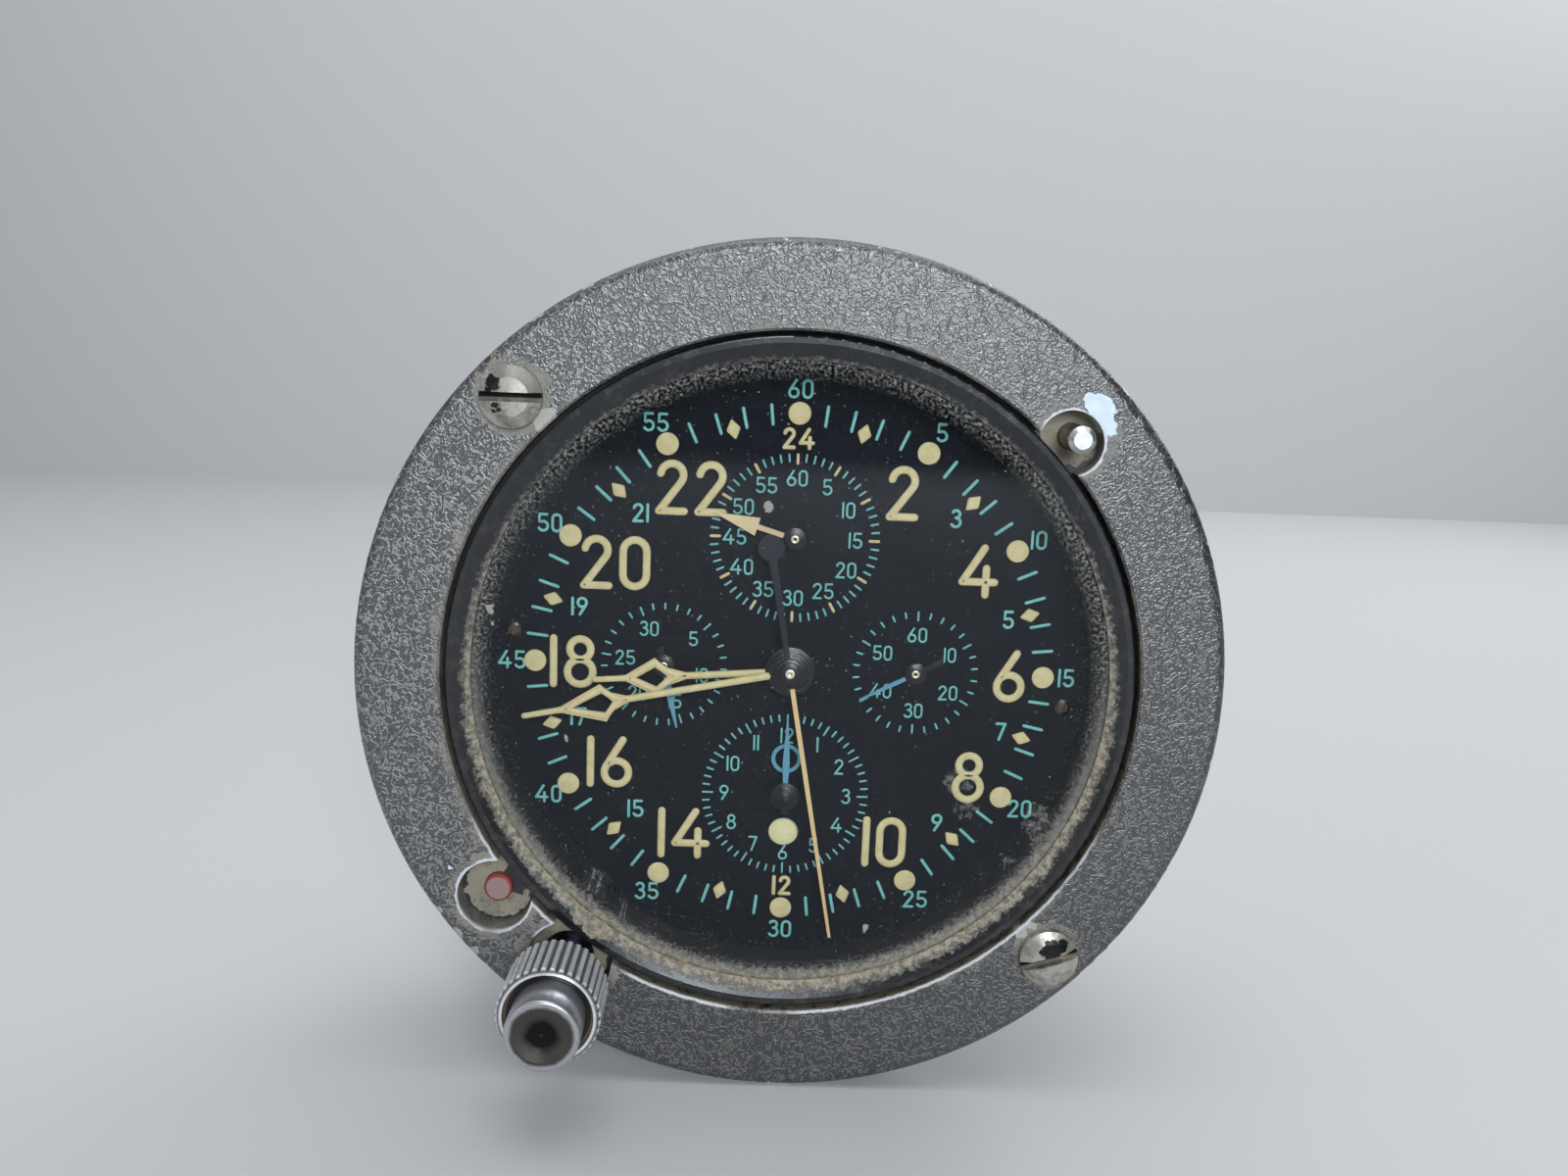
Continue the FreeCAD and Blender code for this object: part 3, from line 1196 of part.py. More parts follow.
def pillar_axes():
    """Axes of the pillars, evenly spaced."""
    return [polar(pillar_place, pillar_first_angle + 360 / pillar_count * k) for k in range(pillar_count)]


def build_plates():
    """The two movement plates, their pillars and screws."""
    pivot_hole = running_pin / 2 + running_clearance
    pivots = ((third_x, third_y), (seconds_x, 0), (escape_x, escape_y), (pallet_x, pallet_y),
              (balance_x, balance_y), (intermediate_x, intermediate_y))
    barrel_hole = barrel_arbor_radius + running_clearance
    centre_hole = centre_tube_radius + running_clearance

    def train_holes(sketch):
        draw_circle(sketch, centre_hole)
        draw_circle(sketch, barrel_hole, barrel_x, barrel_y)
        for x, y in pivots:
            draw_circle(sketch, pivot_hole, x, y)

    def front_outline(sketch):
        draw_circle(sketch, stack_radius)
        train_holes(sketch)
        for x, y in ((-date_x, 0), (0, register_y), (0, -elapsed_y), (0, indicator_axis_y)):
            draw_circle(sketch, pivot_hole, x, y)
        draw_circle(sketch, arbor_radius - running_clearance, minute_wheel_x, minute_wheel_y)
        draw_circle(sketch, transfer_post_radius, transfer_x, transfer_y)
        for x, y in dial_screws_at:
            draw_circle(sketch, dial_screw_radius, x, y)
        for x, y in pillar_axes():
            draw_circle(sketch, pillar_spigot_radius, x, y)

    def back_outline(sketch):
        draw_circle(sketch, back_plate_radius)
        train_holes(sketch)
        for x, y in pillar_axes():
            draw_circle(sketch, plate_screw_radius, x, y)

    stand(padded("front_plate", plate_rear, plate_face, front_outline), "front_plate")
    stand(padded("rear_plate", back_rear, back_face, back_outline), "rear_plate")
    pillars = []
    screws = []
    for number, (x, y) in enumerate(pillar_axes()):
        post = rod(f"pillar_post_{number}", pillar_radius, back_face, plate_rear, x, y)
        spigot = rod(f"pillar_spigot_{number}", pillar_spigot_radius, plate_rear, plate_face, x, y)
        thread = rod(f"pillar_thread_{number}", plate_screw_radius, back_face,
                     back_face + plate_screw_depth, x, y)
        pillars.append(cut(f"pillar_{number}", joined(f"pillar_body_{number}", [post, spigot]), [thread]))
        top = back_rear - plate_screw_height
        head = rod(f"plate_screw_head_{number}", plate_screw_head, top, back_rear, x, y)
        shank = rod(f"plate_screw_shank_{number}", plate_screw_radius, back_rear,
                    back_face + plate_screw_depth * 0.9, x, y)
        slot = block(f"plate_screw_slot_{number}", 3 * plate_screw_head, plate_screw_height / 2, top,
                     top + plate_screw_height / 2, x, y)
        screw = joined(f"plate_screw_body_{number}", [head, shank])
        screws.append(cut(f"plate_screw_{number}", screw, [slot]))
    stand(joined("pillars", pillars), "pillars")
    stand(joined("plate_screws", screws), "plate_screws")


# Winding wheels and controls

transfer_post_radius = size("transfer_post_radius", 1.2)
pod_radius = size("pod_radius", 5.7, "outside half width of the winding pod")
pod_wall = size("pod_wall", 0.5)
pod_depth = size("pod_depth", 13.6)
pod_seat_depth = size("pod_seat_depth", 0.6, "how far the pod is let into the flange")
knob_radius = size("knob_radius", 5.75)
knob_length = size("knob_length", 7.5)
knob_stand_off = size("knob_stand_off", 7.6, "from the flange's front to the knob's rear face")
knob_travel = size("knob_travel", 3.0, "pull to set the hands")
knob_flutes = size("knob_flutes", 36)
flute_width = size("flute_width", 0.64, "width of a flute at the knob's outside")
flute_depth = size("flute_depth", 0.3)
knob_edge_break = size("knob_edge_break", 0.35)
knob_web = size("knob_web", 1.4, "the knob's rear wall")
stem_seat_depth = size("stem_seat_depth", 1.1, "how far the stem goes into the knob")
knob_recess_radius = size("knob_recess_radius", 5.0)
knob_recess_depth = size("knob_recess_depth", 0.8)
push_radius = size("push_radius", 4.1)
push_stand_out = size("push_stand_out", 4.0, "push button beyond the knob's front face")
push_travel = size("push_travel", 1.5)
push_edge_round = size("push_edge_round", 0.35)
push_dish_radius = size("push_dish_radius", 3.05)
push_dish_depth = size("push_dish_depth", 0.6)
sleeve_radius = size("sleeve_radius", 2.25)
stem_radius = size("stem_radius", 1.5)
slide_clearance = size("slide_clearance", 0.05)
knob_rear = flange_thickness + knob_stand_off
knob_front = knob_rear + knob_length


def build_winding():
    """Ratchet and transfer wheels, the barrel arbor, the pod and the stem."""
    low, high = winding_low, winding_high
    module = winding_module.number
    way = math.radians(knob_angle.number)
    ratchet = toothed("ratchet_teeth_rim", ratchet_teeth, module, low, high, barrel_x, barrel_y, 0.0)
    hole = rod("ratchet_hole", barrel_arbor_radius * 0.9, low - 1, high + 1, barrel_x, barrel_y)
    stand(cut("ratchet_wheel", ratchet, [hole]), "ratchet_wheel")
    lower = rod("barrel_arbor_lower", barrel_arbor_radius, back_rear + end_shake, low, barrel_x, barrel_y)
    upper = rod("barrel_arbor_upper", barrel_arbor_radius * 0.9, low, high + 0.4, barrel_x, barrel_y)
    stand(joined("barrel_arbor", [lower, upper]), "barrel_arbor")

    phase = meshed(0.0, ratchet_teeth, transfer_teeth, way)
    transfer = toothed("transfer_rim", transfer_teeth, module, low, high, 0, 0, phase,
                       transfer_post_radius + running_clearance)
    stand(transfer, "transfer_wheel", transfer_x, transfer_y)
    post = rod("transfer_post_shaft", transfer_post_radius, plate_rear, high + 0.1, transfer_x, transfer_y)
    head = rod("transfer_post_head", transfer_post_radius * 1.6, high + 0.1, high + 0.7,
               transfer_x, transfer_y)
    stand(joined("transfer_post", [post, head]), "transfer_post")

    pod = pod_outline("pod_outside", pod_radius, -pod_depth, pod_seat_depth)
    hollow = pod_outline("pod_inside", pod_radius - pod_wall, pod_wall - pod_depth, 1)
    can = rod("pod_can", case_radius, -pod_depth - 1, 1)
    stand(cut("winding_pod", pod, [hollow, can]), "winding_pod")

    phase = meshed(phase, transfer_teeth, winding_teeth, way)
    pinion = toothed("stem_pinion", winding_teeth, module, low - knob_travel - 0.3, high + 0.2,
                     knob_x, knob_y, phase)
    shaft = rod("stem_shaft", stem_radius, low - knob_travel - 0.3, knob_rear + stem_seat_depth,
                knob_x, knob_y)
    stand(joined("knob_stem", [pinion, shaft]), "knob_stem")
    bush = rod("bush_outside", knob_bush_radius, -bush_length, flange_thickness, knob_x, knob_y)
    bush_hole = rod("bush_inside", sleeve_radius + slide_clearance, -bush_length - 1, knob_rear,
                    knob_x, knob_y)
    stand(cut("knob_bush", bush, [bush_hole]), "knob_bush")
    sleeve = rod("sleeve_outside", sleeve_radius, -bush_length, knob_rear - end_shake, knob_x, knob_y)
    sleeve_hole = rod("sleeve_inside", stem_radius + slide_clearance, -bush_length - 1, knob_rear + 1,
                      knob_x, knob_y)
    stand(cut("knob_sleeve", sleeve, [sleeve_hole]), "knob_sleeve")


bush_length = size("bush_length", 3.6, "knob bush behind the flange's rear face")


def pod_outline(name, half_width, low, high):
    """An arched block from the can out round the knob's axis."""
    body = padded(name, low, high, lambda sketch: draw_outline(
        sketch, slot_corners(case_radius - 2, knob_place, half_width)))
    end = rod(name + "_end", half_width, low, high, knob_x, knob_y)
    return joined(name + "_arch", [body, end])


def build_knob():
    """Fluted knob with its push button."""
    hub = knob_rear + knob_web
    well = push_radius + slide_clearance
    floor = knob_front - knob_recess_depth
    body = turned("knob", ((0, knob_rear), (knob_radius, knob_rear), (knob_radius, knob_front),
                           (knob_recess_radius, knob_front), (knob_recess_radius, floor),
                           (well, floor), (well, hub), (0, hub)))
    soften(body, "knob_breaks", "Chamfer", knob_edge_break,
           [(knob_radius, knob_rear), (knob_radius, knob_front)])
    bottom = knob_radius - flute_depth
    outer = knob_radius + flute_depth
    half = flute_width / 2

    def groove(sketch):
        draw_outline(sketch, ((bottom, -half * 0.4), (outer, -half * 1.6), (outer, half * 1.6),
                              (bottom, half * 0.4)))

    flute = pocketed(body, "knob_flute", knob_front + 1, knob_length + 2, groove)
    repeat(body, "knob_flutes_all", flute, knob_flutes)
    stem_hole = pocketed(body, "knob_stem_hole", knob_rear + stem_seat_depth, stem_seat_depth,
                         lambda sketch: draw_circle(sketch, stem_radius))
    body.Tip = stem_hole
    stand(body, "knob", knob_x, knob_y, 0)
    top = knob_front + push_stand_out
    rear = hub + push_travel + end_shake
    dish = push_dish_radius
    button = turned("push_button", ((0, rear), (push_radius, rear), (push_radius, top), (dish, top),
                                    (dish * 0.5, top - push_dish_depth * 0.75), (0, top - push_dish_depth)))
    soften(button, "push_rounding", "Fillet", push_edge_round, [(push_radius, top)])
    stand(button, "push_button", knob_x, knob_y, 0)


pin_radius = size("pin_radius", 1.5)
pin_stand_out = size("pin_stand_out", 6.0, "pin beyond the flange's front face")
pin_travel = size("pin_travel", 2.0)
pin_nose = size("pin_nose", 0.5, "height of the chamfer round a pin's top")
set_pin_radius = size("set_pin_radius", 1.65)
set_nose = size("set_nose", 0.25)
set_stand_out = size("set_stand_out", 1.0)
set_travel = size("set_travel", 0.8)
push_bush_depth = size("push_bush_depth", 7.0)
push_bush_neck = size("push_bush_neck", 1.4)
push_bush_wall = size("push_bush_wall", 0.5)
collar_height = size("collar_height", 1.0)


def build_push_pin(name, x, y, radius, stand_out, nose):
    """A sprung push pin in its bush; the collar under the neck keeps it in."""
    front = flange_thickness
    shoulder = front - push_bush_neck
    inside = push_bore_radius - push_bush_wall
    floor = push_bush_wall - push_bush_depth
    bush = turned(name + "_bush", ((0, -push_bush_depth), (push_bore_radius, -push_bush_depth),
                                   (push_bore_radius, front), (radius + slide_clearance, front),
                                   (radius + slide_clearance, shoulder), (inside, shoulder),
                                   (inside, floor), (0, floor)))
    stand(bush, name + "_bush", x, y, 0)
    top = front + stand_out
    collar = inside - slide_clearance
    collar_top = shoulder - end_shake
    pin = turned(name + "_button", ((0, collar_top - collar_height), (collar, collar_top - collar_height),
                                    (collar, collar_top), (radius, collar_top), (radius, top - nose),
                                    (radius - nose, top), (0, top)))
    stand(pin, name + "_button", x, y, 0)


def main():
    """Build every piece, check it and write it out."""
    build_case()
    build_ring()
    build_mounting_screws()
    build_bezel()
    build_glass_stack()
    build_dial()
    build_indicator()
    build_rear_cover()
    build_plates()
    build_train()
    build_escapement()
    build_motion_work()
    build_hands()
    build_winding()
    build_knob()
    build_push_pin("pin", pin_x, pin_y, pin_radius, pin_stand_out, pin_nose)
    build_push_pin("set", set_x, set_y, set_pin_radius, set_stand_out, set_nose)
    doc.recompute()
    for item in doc.Objects:
        if "Invalid" in item.State or "Error" in item.State:
            raise RuntimeError(f"{item.Name} failed: {item.State}")
    os.makedirs("parts", exist_ok=True)
    for part in pieces:
        shape = part.Shape
        if shape.isNull() or not shape.isValid():
            raise RuntimeError(f"{part.Label} has no valid shape")
        if not shape.Solids:
            raise RuntimeError(f"{part.Label} has no solid")
        shape.exportStep(f"parts/{part.Label}.step")
        print(part.Label, len(shape.Solids), round(shape.Volume, 1))
    print(len(pieces), "pieces")


main()
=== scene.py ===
# %% [markdown]
# # The looks of an aircraft clock
#
# This lesson dresses a 24 hour panel clock. The construction comes ready made as a
# fixed frame: every casting, screw, wheel and hand is already there at its real size.
# What is missing is what the eye reads first: printed figures, luminous paint, a
# wrinkle finish, worn metal and dust. Each cell adds one of them.

import math

import bpy
from mathutils import Matrix, Vector


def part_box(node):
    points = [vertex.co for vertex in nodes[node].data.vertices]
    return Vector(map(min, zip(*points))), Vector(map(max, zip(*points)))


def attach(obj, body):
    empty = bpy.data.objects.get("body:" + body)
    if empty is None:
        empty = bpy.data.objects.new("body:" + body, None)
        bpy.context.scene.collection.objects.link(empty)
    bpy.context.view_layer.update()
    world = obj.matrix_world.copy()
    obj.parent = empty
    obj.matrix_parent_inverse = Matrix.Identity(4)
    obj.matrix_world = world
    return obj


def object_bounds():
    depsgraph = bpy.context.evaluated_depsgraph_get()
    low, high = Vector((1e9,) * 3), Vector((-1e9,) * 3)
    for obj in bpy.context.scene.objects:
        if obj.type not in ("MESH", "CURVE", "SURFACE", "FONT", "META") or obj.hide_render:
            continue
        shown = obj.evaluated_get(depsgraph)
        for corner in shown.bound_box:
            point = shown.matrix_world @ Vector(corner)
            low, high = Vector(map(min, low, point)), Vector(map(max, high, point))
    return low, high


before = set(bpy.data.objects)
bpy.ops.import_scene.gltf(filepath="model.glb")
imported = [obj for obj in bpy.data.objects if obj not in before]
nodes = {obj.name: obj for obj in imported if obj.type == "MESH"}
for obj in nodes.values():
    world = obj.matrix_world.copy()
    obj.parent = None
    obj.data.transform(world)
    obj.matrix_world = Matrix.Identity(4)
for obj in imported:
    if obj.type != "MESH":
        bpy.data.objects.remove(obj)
cad_low, cad_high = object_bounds()
print("nodes in the frame:", len(nodes))

# %% [markdown]
# The clock stands upright. Its own drawing has x to the right, y up and z toward the
# viewer, with z = 0 at the rear of the flange. In the frame those are x, z and -y, so
# one small function turns a drawing point into a place in the frame.

# %% Drawing millimetres to frame metres
MM = 0.001


def place(x, y, z):
    """A point of the drawing, in millimetres, as a place in the frame."""
    return Vector((x, -z, y)) * MM


def polar(radius, clock_angle):
    """A drawing point at a radius and an angle that runs clockwise from 12 o'clock."""
    turn = math.radians(clock_angle)
    return radius * math.sin(turn), radius * math.cos(turn)


def front_of(name):
    """The drawing height of the front face of a node, in millimetres."""
    return -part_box(name)[0].y / MM


DIAL_FACE = front_of("dial")
RING_FRONT = front_of("mounting_ring")
print("dial face at", round(DIAL_FACE, 2), "mm, ring front at", round(RING_FRONT, 2), "mm")

# %% [markdown]
# A finish is a material made of nodes. Most finishes here share a few habits, so the
# next cell has small helpers. One fills the inputs of a node, one starts a material,
# and the others add one kind of node each and give back what it puts out. A socket
# knows the node tree that it is in, so most of them need no tree.

# %% Helpers for materials
COLOUR_A, COLOUR_B, COLOUR_RESULT = 6, 7, 2


def put(socket, value):
    """Give an input a number or a colour, or link the output of another node to it."""
    if isinstance(value, bpy.types.NodeSocket):
        socket.id_data.links.new(value, socket)
    elif socket.type == "RGBA":
        socket.default_value = (*value, 1.0)
    else:
        socket.default_value = value


def fill(node, **values):
    """Fill inputs of a node by name."""
    for name, value in values.items():
        put(node.inputs[name.replace("_", " ")], value)


def add_node(tree, kind, **values):
    """A new node with some of its inputs filled."""
    node = tree.nodes.new(kind)
    fill(node, **values)
    return node


# %% Helpers that reckon with values and colours


def math_node(operation, first, second=0.0, clamp=False):
    """A Math node; of its two inputs one at least is the output of another node."""
    socket = first if isinstance(first, bpy.types.NodeSocket) else second
    node = socket.id_data.nodes.new("ShaderNodeMath")
    node.operation = operation
    node.use_clamp = clamp
    put(node.inputs[0], first)
    put(node.inputs[1], second)
    return node.outputs[0]


def chained(operation, *values):
    """Several values joined one after the other by the same Math operation."""
    result = values[0]
    for value in values[1:]:
        result = math_node(operation, result, value)
    return result


def total(*values):
    """The sum of several values."""
    return chained("ADD", *values)


def product(*values):
    """The product of several values."""
    return chained("MULTIPLY", *values)


def highest(*values):
    """The largest of several masks."""
    return chained("MAXIMUM", *values)


def minus(first, second):
    """The first value less the second."""
    return math_node("SUBTRACT", first, second)


def ramp(value, low, high):
    """A mask that rises from 0 at low to 1 at high, or falls where low is larger."""
    node = add_node(value.id_data, "ShaderNodeMapRange", Value=value, From_Min=low, From_Max=high)
    node.clamp = True
    return node.outputs["Result"]


def mixed(mask, below, above):
    """A colour that goes from below to above as the mask goes from 0 to 1."""
    node = add_node(mask.id_data, "ShaderNodeMix", Factor=mask)
    node.data_type = "RGBA"
    put(node.inputs[COLOUR_A], below)
    put(node.inputs[COLOUR_B], above)
    return node.outputs[COLOUR_RESULT]


def graded(mask, low, high):
    """A number that goes from low to high as the mask goes from 0 to 1."""
    return mixed(mask, (low, low, low), (high, high, high))


def new_material(name, colour, roughness, **values):
    """A material with one Principled shader, and its tree and shader."""
    material = bpy.data.materials.new(name)
    material.use_nodes = True
    tree = material.node_tree
    shader = tree.nodes["Principled BSDF"]
    fill(shader, Base_Color=colour, Roughness=roughness, **values)
    return material, tree, shader


def object_coordinates(tree):
    """The place of the shaded point in the frame, in metres."""
    return tree.nodes.new("ShaderNodeTexCoord").outputs["Object"]


# %% [markdown]
# ## Printed figures
#
# Every figure on the dial is drawn with strokes of one width and round ends, the way
# an engraving cutter draws them. A stroke is a curve with a round bevel. Its end is
# closed by a few rings that shrink like a half circle. The curve becomes a mesh, is
# pressed nearly flat, and sits half sunk in the dial like a thick coat of paint.

# %% Strokes with round ends
CAP_RINGS = ((0.0, 1.0), (0.5, 0.87), (0.87, 0.5), (1.0, 0.08))
SMALL_CAP_RINGS = ((0.0, 1.0), (0.7, 0.7), (1.0, 0.1))


def open_stroke(curve, points, half_width, cap_rings):
    """Add one open stroke with rounded ends to a curve."""
    points = [Vector(point) for point in points]
    before = (points[0] - points[1]).normalized() * half_width
    after = (points[-1] - points[-2]).normalized() * half_width
    rings = [(points[0] + before * share, size) for share, size in reversed(cap_rings)]
    rings += [(point, 1.0) for point in points[1:-1]]
    rings += [(points[-1] + after * share, size) for share, size in cap_rings]
    spline = curve.splines.new("POLY")
    spline.points.add(len(rings) - 1)
    for target, (spot, size) in zip(spline.points, rings):
        target.co = (spot.x, spot.y, 0.0, 1.0)
        target.radius = size


def closed_stroke(curve, points):
    """Add one closed stroke, such as a zero, to a curve."""
    spline = curve.splines.new("POLY")
    spline.points.add(len(points) - 1)
    for target, (x, y) in zip(spline.points, points):
        target.co = (x, y, 0.0, 1.0)
    spline.use_cyclic_u = True


def settle(piece, flatten, face, x=0, y=0):
    """Turn a piece from its drawing plane to its place in the frame and keep it in its mesh."""
    piece.scale = (MM, MM, MM * flatten)
    piece.rotation_euler = (math.radians(90), 0, 0)
    piece.location = place(x, y, face)
    bpy.ops.object.transform_apply(location=True, rotation=True, scale=True)


def painted_strokes(name, strokes, width, paint_height, face, sides=2, cap_rings=CAP_RINGS):
    """Strokes of one width as a thin raised coat on a face of the clock."""
    bpy.ops.object.select_all(action="DESELECT")
    curve = bpy.data.curves.new(name, "CURVE")
    curve.dimensions = "3D"
    curve.bevel_depth = width / 2
    curve.bevel_resolution = sides
    curve.use_fill_caps = True
    for points, closed in strokes:
        if closed:
            closed_stroke(curve, points)
        else:
            open_stroke(curve, points, width / 2, cap_rings)
    piece = bpy.data.objects.new(name, curve)
    bpy.context.scene.collection.objects.link(piece)
    piece.select_set(True)
    bpy.context.view_layer.objects.active = piece
    bpy.ops.object.convert(target="MESH")
    piece = bpy.context.object
    settle(piece, paint_height / (width / 2), face)
    bpy.ops.object.shade_smooth()
    print(name, "has", len(piece.data.polygons), "faces")
    return piece

# %% [markdown]
# The figures are drawn in a box that is one unit high. An arc runs anticlockwise or
# clockwise between two angles. Sharp corners are made by two strokes that share a
# point, because one bent stroke would get thin at its corner.

# %% The ten figures
ARC_STEP = 18.0


def arc(x, y, radius, start, end):
    """Points along an arc between two angles, measured anticlockwise from the right."""
    count = max(2, round(abs(end - start) / ARC_STEP))
    angles = [math.radians(start + (end - start) * step / count) for step in range(count + 1)]
    return [(x + radius * math.cos(angle), y + radius * math.sin(angle)) for angle in angles]


def tangent_stem(x, y, radius, tip):
    """The angle at which a straight stem from a tip meets a circle, on its left side."""
    away = Vector(tip) - Vector((x, y))
    return math.degrees(math.atan2(away.y, away.x) + math.acos(radius / away.length))


SIX_RADIUS = 0.265
SIX_TIP = (0.13, 1.0)
SIX_ANGLE = tangent_stem(0, SIX_RADIUS, SIX_RADIUS, SIX_TIP)
six = [([SIX_TIP] + arc(0, SIX_RADIUS, SIX_RADIUS, SIX_ANGLE, SIX_ANGLE + 342), False)]
nine = [([(-x, 1 - y) for x, y in points], closed) for points, closed in six]
FIGURES = {
    "0": (0.25, [(arc(0, 0.75, 0.25, 0, 180) + arc(0, 0.25, 0.25, 180, 360), True)]),
    "1": (0.0, [([(0, 0), (0, 1)], False)]),
    "2": (0.26, [(arc(0, 0.76, 0.24, 172, -38) + [(-0.26, 0)], False), ([(-0.26, 0), (0.26, 0)], False)]),
    "3": (0.25, [(arc(0, 0.775, 0.225, 150, -90), False), (arc(0, 0.275, 0.275, 90, -150), False)]),
    "4": (0.34, [([(0.10, 1), (-0.34, 0.27)], False), ([(-0.34, 0.27), (0.34, 0.27)], False),
                 ([(0.16, 0.56), (0.16, 0)], False)]),
    "5": (0.26, [([(0.22, 1), (-0.20, 1)], False),
                 ([(-0.20, 1), (-0.23, 0.54)] + arc(0, 0.30, 0.28, 118, -150), False)]),
    "6": (0.265, six),
    "7": (0.26, [([(-0.26, 1), (0.26, 1)], False), ([(0.26, 1), (-0.08, 0)], False)]),
    "8": (0.27, [(arc(0, 0.775, 0.225, 0, 342), True), (arc(0, 0.275, 0.275, 0, 342), True)]),
    "9": (0.265, nine),
}
print("figures:", " ".join(FIGURES))


def written(text, height, width, x, y, gap=0.13):
    """The strokes of a number of a given overall height, centred on a point."""
    rise = height - width
    pitch = width / rise
    spans = [2 * FIGURES[letter][0] + pitch for letter in text]
    left = -(sum(spans) + gap * (len(text) - 1)) / 2
    strokes = []
    for letter, span in zip(text, spans):
        middle = left + span / 2
        for points, closed in FIGURES[letter][1]:
            moved = [(x + (middle + px) * rise, y + (py - 0.5) * rise) for px, py in points]
            strokes.append((moved, closed))
        left += span + gap
    return strokes


def tick(radius, length, clock_angle, width, x=0, y=0):
    """One straight tick whose outer end, with its rounding, lies at a radius."""
    outer = polar(radius - width / 2, clock_angle)
    inner = polar(radius - length + width / 2, clock_angle)
    return [(x + inner[0], y + inner[1]), (x + outer[0], y + outer[1])], False


# %% [markdown]
# ## Finish of the paints
#
# Old luminous paint is a warm pale yellow with slow changes of tone and a dry surface.
# The other print is a flat teal ink. Both get a faint grain from one node group, which
# is built once and placed in each material with its own tones and scale.

# %% Helpers for node groups


def new_group(name, inputs, outputs):
    """An empty shader node group; inputs and outputs are pairs of a name and a kind."""
    group = bpy.data.node_groups.new(name, "ShaderNodeTree")
    for direction, sockets in (("INPUT", inputs), ("OUTPUT", outputs)):
        for socket_name, kind in sockets:
            group.interface.new_socket(socket_name, in_out=direction, socket_type="NodeSocket" + kind)
    return group, group.nodes.new("NodeGroupInput").outputs, group.nodes.new("NodeGroupOutput")


def placed(tree, group, **values):
    """The outputs of a group that is placed in a tree with its inputs filled."""
    node = tree.nodes.new("ShaderNodeGroup")
    node.node_tree = group
    fill(node, **values)
    return node.outputs


def relief(shader, height, strength, distance=0.0001):
    """Let a height tilt the surface of a shader."""
    bump = add_node(shader.id_data, "ShaderNodeBump", Strength=strength, Distance=distance, Height=height)
    fill(shader, Normal=bump.outputs["Normal"])


# %% Grain group
grain, given, grain_out = new_group(
    "paint_grain", (("Scale", "Float"), ("Low", "Color"), ("High", "Color")),
    (("Color", "Color"), ("Height", "Float")))
grain_noise = add_node(grain, "ShaderNodeTexNoise", Vector=object_coordinates(grain), Scale=given["Scale"],
                       Detail=4.0, Roughness=0.6).outputs["Fac"]
grain_tone = mixed(ramp(grain_noise, 0.35, 0.65), given["Low"], given["High"])
fill(grain_out, Color=grain_tone, Height=grain_noise)


def paint(name, low, high, roughness, scale, bump):
    """A dry paint whose tone and surface follow the grain group."""
    material, tree, shader = new_material(name, low, roughness)
    grained = placed(tree, grain, Scale=scale, Low=low, High=high)
    fill(shader, Base_Color=grained["Color"])
    relief(shader, grained["Height"], bump)
    return material


lume_yellow = paint("lume_yellow", (0.48, 0.41, 0.20), (0.56, 0.49, 0.265), 0.7, 900.0, 0.35)
print_teal = paint("print_teal", (0.12, 0.385, 0.355), (0.17, 0.48, 0.435), 0.6, 1500.0, 0.2)
print("paints:", lume_yellow.name, print_teal.name)

# %% [markdown]
# ## The main scale
#
# The hours run twice round in figures of two sizes: even hours are large and yellow,
# odd hours small and teal. Dots mark every five minutes, diamonds the points between,
# and ticks the single minutes. The minute numbers stand outside the dots.

# %% Large and small figures of the hours
LUME_HEIGHT = 0.14
INK_HEIGHT = 0.05
LUME_FINISH = (lume_yellow, "hand_lume")
INK_FINISH = (print_teal,)
HOUR_STEP = 15
MINUTE_STEP = 6
HOUR_RADII = {2: 24.8, 4: 25.2, 6: 26.3, 8: 25.6, 10: 24.7,
              14: 24.3, 16: 24.6, 18: 25.8, 20: 24.2, 22: 24.5}
ODD_RADII = {3: 26.5, 5: 26.6, 7: 26.6, 9: 26.4, 15: 25.6, 17: 26.0, 19: 26.0, 21: 25.6}
BIG_FIGURE, BIG_STROKE, BIG_SIDES = 6.5, 0.95, 3
NOON_RADIUS, NOON_FIGURE, NOON_STROKE = 27.4, 2.6, 0.5
ODD_FIGURE, ODD_STROKE = 2.3, 0.36


def figures_round(numbers, radius, height, width, x=0, y=0):
    """The strokes of several numbers; each pair is a number and its clock angle."""
    strokes = []
    for number, clock_angle in numbers:
        reach = radius[number] if isinstance(radius, dict) else radius
        dx, dy = polar(reach, clock_angle)
        strokes += written(str(number), height, width, x + dx, y + dy)
    return strokes


def finish_print(piece, material, slot=None, body="case"):
    """Paint a printed piece and let it ride with a body."""
    piece.data.materials.append(material)
    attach(piece, body)
    return piece


def dial_print(name, strokes, width, height, finish, sides=2, cap_rings=CAP_RINGS):
    """Strokes printed on the dial; the finish is a material and perhaps a slot, which is not used."""
    finish_print(painted_strokes(name, strokes, width, height, DIAL_FACE, sides, cap_rings), *finish)


even_hours = [(hour, hour * HOUR_STEP) for hour in HOUR_RADII]
strokes = figures_round(even_hours, HOUR_RADII, BIG_FIGURE, BIG_STROKE)
dial_print("hour_figures", strokes, BIG_STROKE, LUME_HEIGHT, LUME_FINISH, BIG_SIDES)
strokes = figures_round([(24, 0), (12, 180)], NOON_RADIUS, NOON_FIGURE, NOON_STROKE)
dial_print("noon_figures", strokes, NOON_STROKE, LUME_HEIGHT, LUME_FINISH)
odd_hours = [(hour, hour * HOUR_STEP) for hour in ODD_RADII]
strokes = figures_round(odd_hours, ODD_RADII, ODD_FIGURE, ODD_STROKE)
dial_print("odd_hour_figures", strokes, ODD_STROKE, INK_HEIGHT, INK_FINISH)

